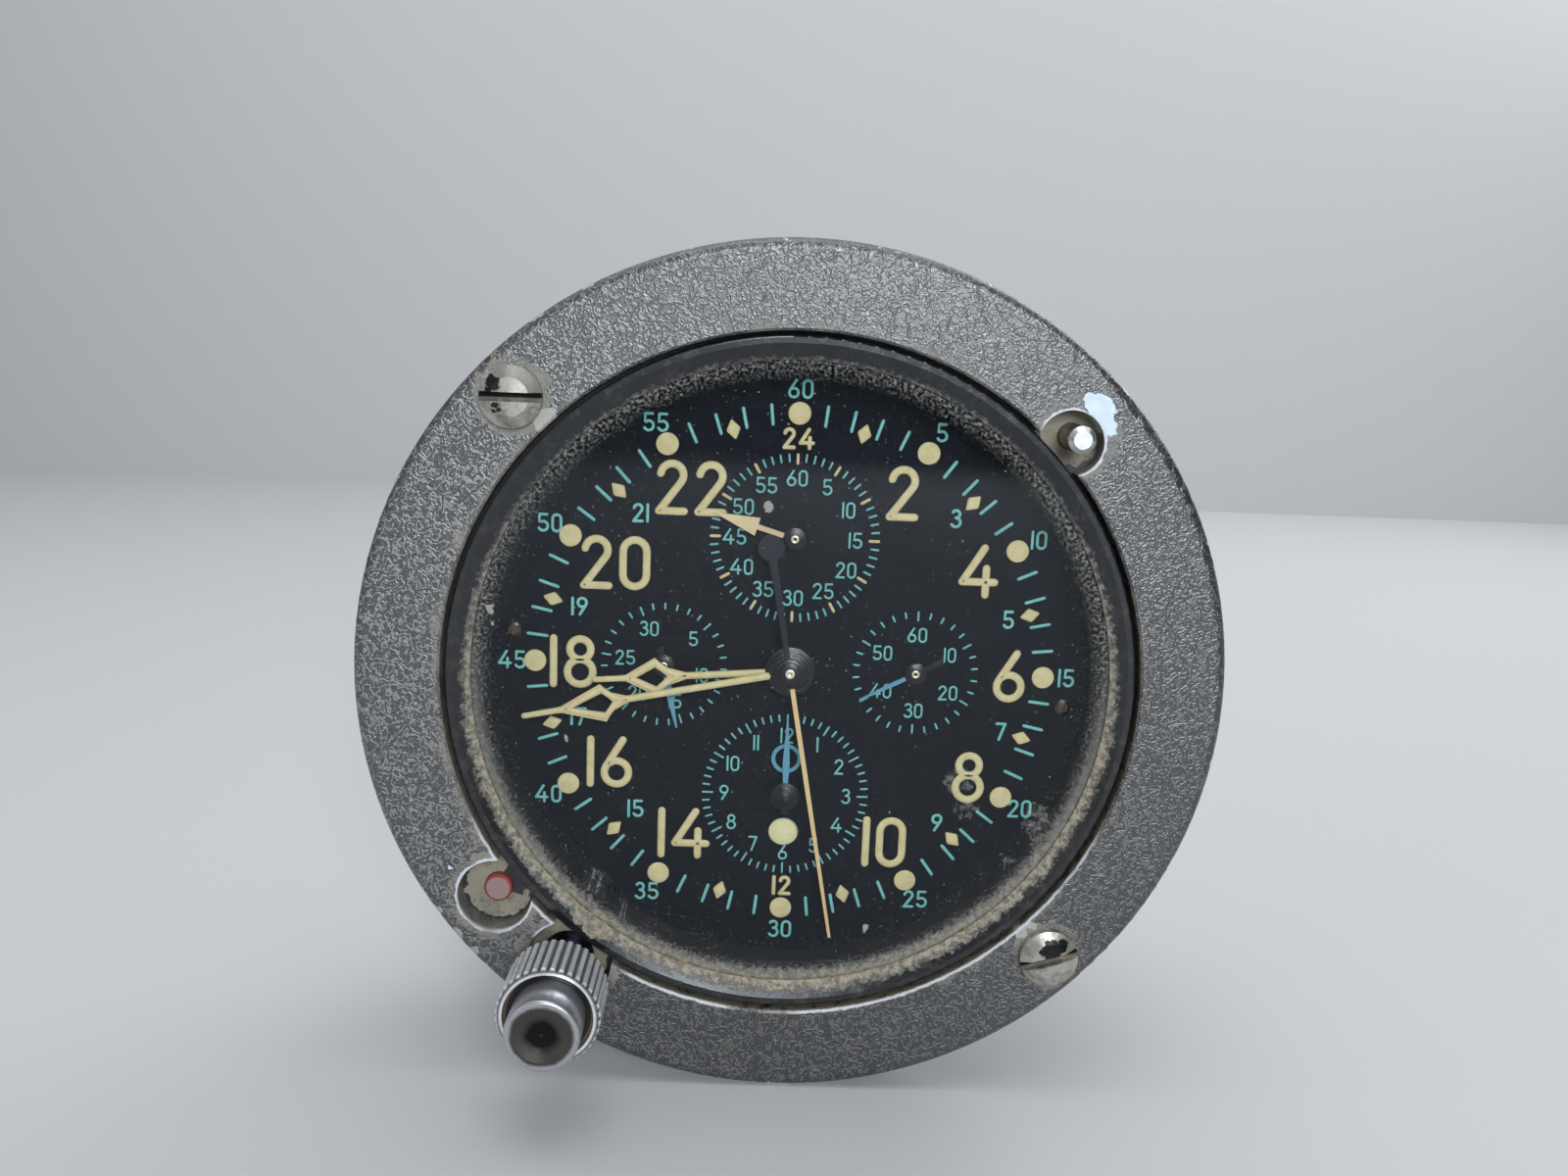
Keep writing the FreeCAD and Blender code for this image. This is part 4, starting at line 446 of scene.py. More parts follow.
# %% Minute figures and ticks
MINUTE_RADIUS, MINUTE_FIGURE, MINUTE_STROKE = 33.1, 2.3, 0.34
TICK_RADIUS, TICK_LENGTH, TICK_WIDTH = 31.5, 2.6, 0.42
MINUTE_FIGURES = [(minute, minute * MINUTE_STEP) for minute in range(5, 65, 5)]
all_minutes = [(minute, minute * MINUTE_STEP) for minute in range(60)]
plain_minutes = [(minute, angle) for minute, angle in all_minutes if minute % 5]
strokes = figures_round(MINUTE_FIGURES, MINUTE_RADIUS, MINUTE_FIGURE, MINUTE_STROKE)
dial_print("minute_figures", strokes, MINUTE_STROKE, INK_HEIGHT, INK_FINISH)
strokes = [tick(TICK_RADIUS, TICK_LENGTH, angle, TICK_WIDTH) for minute, angle in plain_minutes]
dial_print("minute_ticks", strokes, TICK_WIDTH, INK_HEIGHT, INK_FINISH, 1, SMALL_CAP_RINGS)

# %% [markdown]
# A dot is a circle that is extruded and has its rim bevelled. A diamond is the same
# with four corners, drawn out lengthwise. One is modelled, and the others are copies
# turned about the middle of the dial.

# %% Dots and diamonds
DOT_RADIUS, DIAMOND_RADIUS = 30.3, 29.2
FEW_CORNERS = 8
CORNER_BEVEL = 0.25
RIM_SHARE = 0.9
TOP_PLAY = 1e-6


def start_disc(name, corners, radius):
    """A filled circle in the drawing plane, in edit mode with all of it selected."""
    bpy.ops.object.select_all(action="DESELECT")
    bpy.ops.mesh.primitive_circle_add(vertices=corners, radius=radius, fill_type="NGON")
    piece = bpy.context.object
    piece.name = name
    piece.data.name = name
    bpy.ops.object.mode_set(mode="EDIT")
    bpy.ops.mesh.select_all(action="SELECT")
    return piece


def select_edges(piece, wanted):
    """Select edges by a test of the piece's top and their two end heights, in edit mode."""
    bpy.ops.mesh.select_all(action="DESELECT")
    bpy.ops.object.mode_set(mode="OBJECT")
    heights = [vertex.co.z for vertex in piece.data.vertices]
    for edge in piece.data.edges:
        edge.select = wanted(max(heights), *[heights[index] for index in edge.vertices])
    bpy.ops.object.mode_set(mode="EDIT")


def blob(name, corners, width, length, radius, clock_angles):
    """Raised spots of lume round the dial, all copies of one bevelled shape."""
    piece = start_disc(name, corners, 0.5)
    bpy.ops.transform.resize(value=(width, length, 1))
    bpy.ops.mesh.extrude_region_move(TRANSFORM_OT_translate={"value": (0, 0, LUME_HEIGHT)})
    if corners < FEW_CORNERS:
        select_edges(piece, lambda top, one, other: abs(one - other) > top / 2)
        bpy.ops.mesh.bevel(offset=CORNER_BEVEL, segments=3, affect="EDGES")
    bpy.ops.mesh.select_all(action="SELECT")
    bpy.ops.mesh.normals_make_consistent(inside=False)
    select_edges(piece, lambda top, one, other: min(one, other) > top - TOP_PLAY)
    bpy.ops.mesh.bevel(offset=LUME_HEIGHT * RIM_SHARE, segments=3, affect="EDGES")
    bpy.ops.object.mode_set(mode="OBJECT")
    copies = []
    for clock_angle in clock_angles:
        copy = bpy.data.objects.new(name, piece.data.copy())
        bpy.context.scene.collection.objects.link(copy)
        copy.location = (*polar(radius, clock_angle), 0)
        copy.rotation_euler = (0, 0, -math.radians(clock_angle))
        copy.select_set(True)
        copies.append(copy)
    bpy.data.objects.remove(piece)
    bpy.context.view_layer.objects.active = copies[0]
    bpy.ops.object.transform_apply(location=True, rotation=True, scale=True)
    bpy.ops.object.join()
    joined_piece = bpy.context.object
    joined_piece.name = name
    settle(joined_piece, 1.0, DIAL_FACE)
    bpy.ops.object.shade_smooth_by_angle(angle=math.radians(40))
    finish_print(joined_piece, *LUME_FINISH)
    print(name, "has", len(copies), "copies of one spot")


blob("five_minute_dots", 36, 2.65, 2.65, DOT_RADIUS, range(0, 360, 30))
blob("diamonds", 4, 1.75, 2.5, DIAMOND_RADIUS, range(15, 360, 30))

# %% [markdown]
# ## The four small dials
#
# The upper dial counts the minutes of the sweep hand, the right one shows seconds, the
# left one the day of the month and the lower one the elapsed time.

# %% Small dials
SUB_INK = 0.24
REGISTER_AXIS, ELAPSED_AXIS = (0.0, 15.7), (0.0, -15.7)
SECONDS_AXIS, DATE_AXIS = (15.0, 0.0), (-15.0, 0.0)
DAY_STEP = 360 / 31


def small_dial(name, axis, outer, marks, long_every, lengths, numbers, figure_radius, height, width):
    """Ticks and figures of one small dial; marks are pairs of an index and its angle."""
    short, long = lengths
    strokes = [tick(outer, short if index % long_every else long, angle, SUB_INK, *axis)
               for index, angle in marks]
    dial_print(name + "_ticks", strokes, SUB_INK, INK_HEIGHT, INK_FINISH, 1, SMALL_CAP_RINGS)
    strokes = figures_round(numbers, figure_radius, height, width, *axis)
    dial_print(name + "_figures", strokes, width, INK_HEIGHT, INK_FINISH)


small_dial("register", REGISTER_AXIS, 10.0, plain_minutes, 5, (1.05, 1.05), MINUTE_FIGURES, 7.1, 1.95,
           0.25)
strokes = [tick(10.0, 1.35, angle, 0.36, *REGISTER_AXIS) for angle in range(0, 360, 30)]
dial_print("register_lume_ticks", strokes, 0.36, INK_HEIGHT, LUME_FINISH, 1, SMALL_CAP_RINGS)

every_two = all_minutes[::2]
tens = [(second, second * MINUTE_STEP) for second in range(10, 70, 10)]
small_dial("seconds", SECONDS_AXIS, 7.53, every_two, 10, (0.85, 1.2), tens, 4.65, 1.85, 0.24)
days = [(day, (day - 1) * DAY_STEP) for day in range(1, 32)]
fifth_days = [(day, (day - 1) * DAY_STEP) for day in range(5, 35, 5)]
small_dial("date", DATE_AXIS, 7.53, days, 5, (0.85, 1.2), fifth_days, 4.7, 1.85, 0.24)
half_day = [(hour, hour * 30) for hour in range(1, 13)]
small_dial("elapsed", ELAPSED_AXIS, 10.1, all_minutes, 5, (0.95, 1.4), half_day, 7.4, 1.95, 0.25)

# %% [markdown]
# ## Hands
#
# The hour and minute hands are skeletons filled with lume: one stem that opens into a
# lozenge and closes again to a point. The lume stands a little proud of the metal and
# has soft edges, so it is drawn with the same round strokes, on top of the hand, and
# rides with it.

# %% Where the hands point


def bearing(name, x=0.0, y=0.0):
    """The clock angle of the point of a hand that lies furthest from its own axis."""
    corners = [vertex.co / MM for vertex in nodes[name].data.vertices]
    far = max(corners, key=lambda corner: math.hypot(corner.x - x, corner.z - y))
    return math.degrees(math.atan2(far.x - x, far.z - y)) % 360


def rotated(points, clock_angle, x=0.0, y=0.0):
    """Drawing points of a hand that points up, turned to a clock angle about an axis."""
    turn = -math.radians(clock_angle)
    return [(x + px * math.cos(turn) - py * math.sin(turn), y + px * math.sin(turn) + py * math.cos(turn))
            for px, py in points]


HOUR_ANGLE = bearing("hour_hand")
MINUTE_ANGLE = bearing("minute_hand")
print("hour hand at", round(HOUR_ANGLE, 1), "minute hand at", round(MINUTE_ANGLE, 1))

# %% Lume of the two long hands
HAND_STROKE = 0.72
HAND_LUME = 0.13


def lozenge_hand(name, node, clock_angle, root, split, widest, close, tip, half, body):
    """Lume strokes of a skeleton hand: a stem, two bent branches and a point."""
    strokes = [([(0, root), (0, split)], False), ([(0, close), (0, tip)], False)]
    for side in (-1, 1):
        flare = [(side * half * share * share, split + (widest - split) * share)
                 for share in (0, 0.25, 0.5, 0.75, 1)]
        strokes.append((flare, False))
        strokes.append(([(side * half, widest), (0, close)], False))
    strokes = [(rotated(points, clock_angle), closed) for points, closed in strokes]
    lume = painted_strokes(name, strokes, HAND_STROKE, HAND_LUME, front_of(node), 3)
    finish_print(lume, *LUME_FINISH, body)


lozenge_hand("hour_hand_lume", "hour_hand", HOUR_ANGLE, 3.2, 12.3, 15.9, 19.0, 23.0, 1.75, "hour")
lozenge_hand("minute_hand_lume", "minute_hand", MINUTE_ANGLE, 2.6, 19.5, 22.4, 27.0, 31.9, 1.7, "cannon")

# %% [markdown]
# The hubs of the hands are dark, stacked collars with a bright pivot, and the elapsed
# time hands end in a black dome. They are turned parts, so each starts as a circle that
# is extruded and inset into a stepped disc, with its edges bevelled.

# %% Hub collars
CENTRE_AXIS = (0.0, 0.0)
COLLAR_SIDES = 40
COLLAR_BEVEL = 0.09


def collar(name, node, radii, rises, axis, body, material):
    """A stepped collar; rises are heights above the front of a hand, from foot to top."""
    piece = start_disc(name, COLLAR_SIDES, radii[0])
    levels = [front_of(node) + rise for rise in rises]
    bpy.ops.transform.translate(value=(0, 0, levels[0]))
    for index, radius in enumerate(radii):
        if index:
            bpy.ops.mesh.inset(thickness=radii[index - 1] - radius)
        rise = levels[index + 1] - levels[index]
        bpy.ops.mesh.extrude_region_move(TRANSFORM_OT_translate={"value": (0, 0, rise)})
    bpy.ops.mesh.select_all(action="SELECT")
    bpy.ops.mesh.normals_make_consistent(inside=False)
    bpy.ops.object.mode_set(mode="OBJECT")
    bevel = piece.modifiers.new("soft_edges", "BEVEL")
    bevel.width = COLLAR_BEVEL
    bevel.segments = 2
    bevel.limit_method = "ANGLE"
    bpy.ops.object.modifier_apply(modifier=bevel.name)
    settle(piece, 1.0, 0, *axis)
    bpy.ops.object.shade_smooth_by_angle(angle=math.radians(35))
    piece.data.materials.append(material)
    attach(piece, body)
    print(name, "reaches", round(levels[-1], 2), "mm")


hub_black = new_material("hub_black", (0.006, 0.007, 0.009), 0.28, Specular_IOR_Level=0.35)[0]
hub_brass = new_material("hub_brass", (0.62, 0.55, 0.40), 0.35, Metallic=1.0)[0]
SWEEP, SMALL, ELAPSED = "sweep_seconds_hand", "small_seconds_hand", "elapsed_minute_hand"
collar("hour_hub_collar", "hour_hand", (2.95, 2.6), (-0.28, 0.05, 0.12), CENTRE_AXIS, "hour", hub_black)
collar("minute_hub_collar", "minute_hand", (2.5, 2.1), (-0.27, 0.08, 0.2), CENTRE_AXIS, "cannon", hub_black)
collar("sweep_hub_collar", SWEEP, (1.75, 1.3), (-0.26, 0.12, 0.3), CENTRE_AXIS, "sweep", hub_black)
collar("sweep_pivot", SWEEP, (0.55, 0.2), (0.2, 0.48, 0.4), CENTRE_AXIS, "sweep", hub_brass)
for name, axis, body in (("seconds", SECONDS_AXIS, "fourth"), ("date", DATE_AXIS, "date"),
                         ("register", REGISTER_AXIS, "register")):
    collar(name + "_hub_collar", SMALL, (1.3, 1.1), (-0.2, 0.12, 0.2), axis, body, hub_black)
    collar(name + "_pivot_rim", SMALL, (0.46, 0.24), (0.1, 0.34, 0.22), axis, body, hub_brass)
    collar(name + "_pivot_eye", SMALL, (0.2, 0.1), (0.1, 0.25, 0.24), axis, body, hub_black)
collar("elapsed_hub_collar", ELAPSED, (1.75, 1.5), (-0.25, 0.1, 0.16), ELAPSED_AXIS,
       "elapsed_minutes", hub_black)
collar("elapsed_dome", ELAPSED, (1.3, 1.15, 0.85, 0.45), (0.1, 0.35, 0.6, 0.78, 0.85), ELAPSED_AXIS,
       "elapsed_minutes", hub_black)

# %% [markdown]
# ## Where a point lies on the clock
#
# Wear and dust follow the shape of the clock: the edge of the ring, the slope of the
# bezel, the rim of a notch. One group tells each shaded point how far it lies from the
# middle of the dial, at which clock angle, and how far forward. Another is 1 inside a
# spot with a ragged edge, and tells the distance from the middle of the spot.

# %% Groups that measure a place


def spread(tree, scale, detail=3.0, roughness=0.55):
    """A noise over the frame whose scale is in cycles per metre."""
    return add_node(tree, "ShaderNodeTexNoise", Vector=object_coordinates(tree), Scale=scale, Detail=detail,
                    Roughness=roughness).outputs["Fac"]


where, _, where_out = new_group("place_on_dial", (),
                                (("Radius", "Float"), ("Angle", "Float"), ("Front", "Float")))
parts = add_node(where, "ShaderNodeSeparateXYZ", Vector=object_coordinates(where)).outputs
squares = total(math_node("POWER", parts["X"], 2.0), math_node("POWER", parts["Z"], 2.0))
turned = math_node("ARCTAN2", parts["X"], parts["Z"])
fill(where_out, Radius=product(math_node("SQRT", squares), 1000.0),
     Angle=math_node("DEGREES", turned), Front=product(parts["Y"], -1000.0))

spot, given, spot_out = new_group(
    "ragged_spot", (("Centre", "Vector"), ("Radius", "Float"), ("Ragged", "Float"), ("Noise", "Float")),
    (("Mask", "Float"), ("Distance", "Float")))
flat = spot.nodes.new("ShaderNodeVectorMath")
flat.operation = "MULTIPLY"
flat.inputs[1].default_value = (1000.0, 0.0, 1000.0)
spot.links.new(object_coordinates(spot), flat.inputs[0])
gap = spot.nodes.new("ShaderNodeVectorMath")
gap.operation = "DISTANCE"
spot.links.new(flat.outputs[0], gap.inputs[0])
spot.links.new(given["Centre"], gap.inputs[1])
wobble = product(minus(given["Noise"], 0.5), given["Ragged"])
reach = minus(total(given["Radius"], wobble), gap.outputs["Value"])
fill(spot_out, Mask=ramp(reach, -0.04, 0.04), Distance=gap.outputs["Value"])


def spots(noise, places, ragged):
    """The joint mask of several ragged spots, given as x, y and radius in millimetres."""
    return highest(*[
        placed(noise.id_data, spot, Centre=(x, 0.0, y), Radius=radius, Ragged=ragged, Noise=noise)["Mask"]
        for x, y, radius in places])


def sector(angle, middle, half, soft=6.0):
    """A mask that is 1 within some degrees of a clock angle."""
    away = math_node("ABSOLUTE", minus(angle, middle))
    return ramp(away, half + soft, half)


def weighted(*pairs):
    """The sum of several masks, each times its weight."""
    return total(*[product(mask, weight) for mask, weight in pairs])


def wear(node_names, material):
    """Give nodes of the frame a finish in place of their plain one."""
    for name in node_names.split():
        mesh = nodes[name].data
        mesh.materials.clear()
        mesh.materials.append(material)
    print(material.name, "is on", node_names)


# %% [markdown]
# ## Dust
#
# Brown dust has settled in every hollow that a finger doesn't reach. The group mixes a
# fine and a coarse noise, so that a layer thins out in patches and grains.

# %% Dust group
DUST_BROWN = (0.235, 0.195, 0.145)
dust, given, dust_out = new_group(
    "settled_dust", (("Amount", "Float"), ("Below", "Color"), ("Dust", "Color")),
    (("Color", "Color"), ("Mask", "Float")))
patches = weighted((spread(dust, 260.0, 4.0, 0.65), 0.65), (spread(dust, 3800.0, 2.0, 0.7), 0.35))
cover = ramp(total(patches, minus(given["Amount"], 1.0)), 0.0, 0.22)
fill(dust_out, Color=mixed(cover, given["Below"], given["Dust"]), Mask=cover)
print("groups so far:", grain.name, where.name, spot.name, dust.name)

# %% [markdown]
# ## The wrinkle finish of the ring
#
# Wrinkle paint shrinks into worm-like folds about a third of a millimetre apart, which
# run side by side in small swirls. They are drawn as the contour lines of a smooth
# noise: its value is multiplied and folded back and forth, and each fold is a line.
# The tops are rubbed and hold pale dust. The ring is painted lighter on the left: pale dust on
# the folds, and a painted sheen on the ground between them. The paint is glossy under the
# dust, so the top of the ring mirrors the window.

# %% Folds of the ring's paint
ring_wrinkle, tree, shader = new_material("ring_wrinkle", (0.03, 0.031, 0.035), 0.4, IOR=2.0)
swirl = weighted((spread(tree, 560.0, 1.0, 0.4), 6.5), (spread(tree, 2600.0, 2.0, 0.5), 1.9))
between = math_node("PINGPONG", swirl, 0.5)
here = placed(tree, where)
radius, angle, front = here["Radius"], here["Angle"], here["Front"]
off_top = math_node("ABSOLUTE", angle)
# Painted lighter on the left: pale dust on the folds and a painted bluish sheen between them.
left_dust_and_sheen = sector(angle, -80.0, 34.0, 40.0)
ground_tone = mixed(left_dust_and_sheen, (0.005, 0.0055, 0.007), (0.019, 0.021, 0.026))
fold_tone = mixed(left_dust_and_sheen, (0.085, 0.079, 0.07), (0.22, 0.204, 0.175))
tone = mixed(ramp(between, 0.2, 0.04), ground_tone, fold_tone)
print(ring_wrinkle.name, "has", len(tree.nodes), "nodes for its folds")

# %% Dust on the ring
patch = spread(tree, 60.0, 4.0, 0.6)
ragged = spread(tree, 900.0, 3.0, 0.6)
near_bore = ramp(radius, 42.4, 39.9)
screw_halo = spots(ragged, ((-31.43, 31.43, 4.3), (31.43, -31.43, 4.3)), 2.2)
control_halo = spots(ragged, ((-33.5, -26.2, 5.4), (30.2, 29.2, 4.8), (-25.3, -34.8, 6.3)), 2.6)
amount = weighted((near_bore, 0.3), (highest(screw_halo, control_halo), 0.34), (patch, 0.46),
                  (left_dust_and_sheen, 0.05))
dusty = placed(tree, dust, Amount=amount, Below=tone, Dust=(0.17, 0.155, 0.125))
print(ring_wrinkle.name, "has", len(tree.nodes), "nodes with its dust")

# %% [markdown]
# Knocks have chipped the paint and left pale primer: one large chip beside the push
# pin, small ones on the front edge of the rim. Scuffs have only rubbed it grey. Along
# the bore and round the notches the paint has worn down to the bare metal.

# %% Chips, scuffs and bare edges of the ring
NOTCHES = ((-33.49, -26.17, 4.3), (-24.81, -34.13, 5.0), (29.64, 28.62, 3.6))
chips = spots(ragged, (
    (32.6, 32.2, 1.65), (31.4, 33.3, 0.95), (33.6, 30.6, 0.95), (29.9, 25.4, 0.35),
    (-38.4, -22.9, 0.3)), 1.5)
scuffs = spots(ragged, (
    (-27.5, 29.6, 0.95), (-28.4, 28.5, 0.75), (28.2, -28.6, 0.75), (29.3, -27.7, 0.5),
    (-38.0, -31.2, 0.8), (-36.2, -33.3, 0.7), (-40.2, -28.4, 0.6), (-34.6, -34.9, 0.4)), 1.8)
rim_places = highest(sector(angle, 67.0, 8.0), sector(off_top, 178.0, 7.0),
                     sector(angle, -131.0, 6.0), product(sector(angle, -14.0, 24.0), 0.3))
rim_reach = total(radius, product(ragged, 1.5))
rim_chance = total(spread(tree, 420.0, 2.0), product(rim_places, 0.12))
from_edge = total(front, product(ragged, 1.6))
rim_chips = product(ramp(rim_reach, 49.9, 50.0), ramp(rim_chance, 0.62, 0.64),
                    ramp(from_edge, 6.3, 6.45))
bore_reach = minus(radius, product(ragged, 0.35))
bore_wear = product(ramp(bore_reach, 39.76, 39.68), ramp(bore_reach, 39.44, 39.52),
                    sector(off_top, 155.0, 36.0), ramp(patch, 0.34, 0.42))
bore_dirt = product(ramp(bore_reach, 39.52, 39.46), ramp(off_top, 70.0, 110.0), ramp(ragged, 0.3, 0.45))
notch_rims = []
for x, y, size in NOTCHES:
    away = placed(tree, spot, Centre=(x, 0.0, y), Radius=size, Ragged=0.0, Noise=ragged)["Distance"]
    reach = minus(away, product(ragged, 0.8))
    notch_rims.append(ramp(reach, size - 0.08, size - 0.2))
notch_wear = product(highest(*notch_rims), ramp(patch, 0.44, 0.52))
bare = product(highest(bore_wear, notch_wear), ramp(front, 5.7, 6.2))
print(ring_wrinkle.name, "has", len(tree.nodes), "nodes with its wear")

# %% Ring material
bare_tone = mixed(spread(tree, 1500.0), (0.36, 0.38, 0.41), (0.62, 0.64, 0.67))
scuff_tone = mixed(spread(tree, 1500.0), (0.24, 0.225, 0.19), (0.40, 0.385, 0.34))
chip_tone = mixed(spread(tree, 700.0), (0.42, 0.52, 0.60), (0.66, 0.77, 0.86))
rim_tone = mixed(spread(tree, 900.0), (0.26, 0.26, 0.24), (0.56, 0.56, 0.52))
chipped = highest(chips, rim_chips)
colour = mixed(bore_dirt, dusty["Color"], (0.155, 0.132, 0.095))
colour = mixed(scuffs, colour, scuff_tone)
colour = mixed(chips, mixed(rim_chips, colour, rim_tone), chip_tone)
fill(shader, Base_Color=mixed(bare, colour, bare_tone), Roughness=graded(dusty["Mask"], 0.35, 0.7))
smooth_places = highest(chipped, bare, scuffs)
height = product(ramp(between, 0.4, 0.0), minus(1.0, smooth_places))
relief(shader, minus(height, product(chipped, 0.6)), 0.4)
wear("mounting_ring", ring_wrinkle)

# %% [markdown]
# ## Black parts
#
# The bezel is gloss black with a dusty inner slope. The band of dust starts at the
# glass, and is wider and browner in the lower half, where it falls.

# %% Bezel material
GLOSS_BLACK = (0.010, 0.011, 0.013)
bezel_gloss, tree, shader = new_material("bezel_gloss", GLOSS_BLACK, 0.2, IOR=1.55)
here = placed(tree, where)
radius, off_top, front = here["Radius"], math_node("ABSOLUTE", here["Angle"]), here["Front"]
grit = spread(tree, 1400.0, 4.0, 0.75)
low_half = ramp(off_top, 55.0, 100.0)
band_edge = total(product(low_half, 0.75), 36.8)
band_depth = total(minus(band_edge, radius), product(minus(grit, 0.5), 2.2))
band = ramp(band_depth, -0.15, 0.55)
lump = spots(spread(tree, 900.0), (
    (-22.2, -30.2, 1.1), (-23.6, -29.0, 0.8), (-20.9, -31.0, 0.7)), 1.5)
gutter = product(ramp(front, 5.0, 3.9), ramp(radius, 38.7, 39.0), ramp(grit, 0.36, 0.5))
film = ramp(spread(tree, 500.0, 5.0, 0.75), 0.5, 0.85)
dirt = highest(band, lump, gutter, product(film, 0.22))
dark_dirt = mixed(low_half, (0.07, 0.068, 0.064), (0.14, 0.12, 0.09))
pale_dirt = mixed(low_half, (0.19, 0.185, 0.175), (0.33, 0.295, 0.225))
dirt_tone = mixed(ramp(grit, 0.42, 0.6), dark_dirt, pale_dirt)
fill(shader, Base_Color=mixed(dirt, GLOSS_BLACK, dirt_tone), Roughness=graded(dirt, 0.22, 0.85))
relief(shader, product(dirt, grit), 0.6, 0.00015)
wear("bezel", bezel_gloss)

# %% [markdown]
# The can, the flange, the cover and the bushes are a rougher black. Where the flange
# shows in the notches of the ring, dust lies round the knob and the pins.

# %% Case material
CASE_BLACK = (0.02, 0.021, 0.024)
case_paint, tree, shader = new_material("case_paint", CASE_BLACK, 0.5)
halo = spots(spread(tree, 900.0), ((-33.5, -26.2, 4.0), (30.2, 29.2, 3.4), (-25.3, -34.8, 4.8)), 2.0)
halo = product(halo, ramp(placed(tree, where)["Front"], 2.6, 3.0))
bare_side = spots(spread(tree, 900.0), ((-31.6, -24.9, 1.5), (-31.2, -26.3, 1.0)), 2.0)
amount = minus(total(product(halo, 0.5), 0.22), product(bare_side, 0.4))
dusty = placed(tree, dust, Amount=amount, Below=CASE_BLACK,
               Dust=mixed(halo, DUST_BROWN, (0.27, 0.24, 0.18)))
fill(shader, Base_Color=dusty["Color"], Roughness=graded(dusty["Mask"], 0.5, 0.85))
relief(shader, spread(tree, 1600.0, 3.0), 0.25)
wear("case_body rear_cover winding_pod set_bush pin_bush", case_paint)

# %% [markdown]
# The dial is matt, with a scatter of fine bright grains that are thickest at its rim.
# The rings and gaskets round it are a dusty dull black.

# %% Dial and ring materials
DIAL_BLACK = (0.004, 0.006, 0.0095)
DULL_BLACK = (0.012, 0.013, 0.015)
dial_paint, tree, shader = new_material("dial_paint", DIAL_BLACK, 0.75, Specular_IOR_Level=0.12)
grains = spread(tree, 5200.0, 1.0, 0.5)
sparse = product(ramp(grains, 0.75, 0.79), ramp(spread(tree, 180.0, 2.0), 0.35, 0.6))
rim = product(ramp(placed(tree, where)["Radius"], 33.6, 35.8), ramp(grains, 0.62, 0.76))
scatter = product(math_node("ADD", sparse, rim, True), 0.55)
fill(shader, Base_Color=mixed(scatter, DIAL_BLACK, (0.22, 0.23, 0.22)))
wear("dial", dial_paint)

matt_black, tree, shader = new_material("matt_black", DULL_BLACK, 0.7)
dusty = placed(tree, dust, Amount=0.42, Below=DULL_BLACK, Dust=DUST_BROWN)
fill(shader, Base_Color=dusty["Color"])
wear("reflector_ring glass_gasket cover_gasket", matt_black)

# %% [markdown]
# ## Glass
#
# The glass is clear. Light that falls on the dial or leaves it again goes straight
# through, by an alpha that is 0 for shadow, diffuse and glossy rays. Only what is seen
# through the glass bends and mirrors, which keeps the dial free of noise.

# %% Glass material
clear_glass, tree, shader = new_material("clear_glass", (1.0, 1.0, 1.0), 0.02, Transmission_Weight=1.0,
                                         IOR=1.3)
rays = tree.nodes.new("ShaderNodeLightPath").outputs
straight = highest(rays["Is Shadow Ray"], rays["Is Diffuse Ray"], rays["Is Glossy Ray"])
fill(shader, Alpha=minus(1.0, straight))
wear("glass", clear_glass)

# %% [markdown]
# Fine dust lies on the glass: small pale specks everywhere, smeared patches at the
# lower right, a few bits of lint, a film round the edge and a brown crust along its
# lower half. It is a separate thin disc just in front of the glass, from a circle with
# two inset rings, and its alpha is the mask of the dust, so that the clear places show
# the glass below.

# %% Dust on the glass
FILM_PLACE = front_of("glass") + 0.02
FILM_RADIUS = 36.49
FILM_INSETS = (6.0, 12.0)
DUST_PALE = (0.46, 0.45, 0.41)
film_piece = start_disc("glass_dust", 96, FILM_RADIUS)
for step in FILM_INSETS:
    bpy.ops.mesh.inset(thickness=step)
bpy.ops.object.mode_set(mode="OBJECT")
settle(film_piece, 1.0, FILM_PLACE)
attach(film_piece, "case")
dust_film, tree, shader = new_material("dust_film", DUST_PALE, 0.8, Specular_IOR_Level=0.1)
film_piece.data.materials.append(dust_film)
here = placed(tree, where)
radius = here["Radius"]
fine = spread(tree, 2600.0, 2.0, 0.6)
specks = product(ramp(fine, 0.675, 0.72), ramp(spread(tree, 110.0, 3.0), 0.3, 0.6))
clouds = spots(spread(tree, 420.0, 4.0, 0.7), (
    (20.3, -11.2, 1.4), (21.0, -14.3, 1.0), (29.3, -15.2, 1.7), (30.4, -18.4, 1.2), (26.6, -20.6, 0.8)), 5.0)
smear = product(clouds, ramp(spread(tree, 1500.0, 3.0, 0.7), 0.42, 0.75), 0.4)
lint = spots(spread(tree, 1300.0, 3.0), (
    (-34.3, 7.4, 0.5), (-34.0, 5.6, 0.3), (-3.2, 20.2, 0.5), (-25.6, -7.4, 0.35), (10.1, -29.8, 0.35)), 1.6)
low_half = ramp(math_node("ABSOLUTE", here["Angle"]), 80.0, 140.0)
edge_dust = product(ramp(radius, 34.2, 36.4), ramp(fine, 0.45, 0.68), 0.6)
grit = spread(tree, 1400.0, 4.0, 0.75)
crust_reach = total(radius, product(minus(grit, 0.5), 3.0))
crust = product(ramp(crust_reach, 35.0, 36.3), low_half, 0.9)
crust_tone = mixed(ramp(grit, 0.42, 0.6), (0.14, 0.12, 0.09), (0.30, 0.265, 0.20))
fill(shader, Base_Color=mixed(crust, DUST_PALE, crust_tone),
     Alpha=highest(product(specks, 0.75), smear, product(lint, 0.6), edge_dust, crust))
print("dust on the glass at", round(FILM_PLACE, 2), "mm")

# %% [markdown]
# ## Metals
#
# Bare metals differ in tone and in how evenly they are rubbed. One group gives each of
# them stains and a worn sheen, with its own colours and scale.

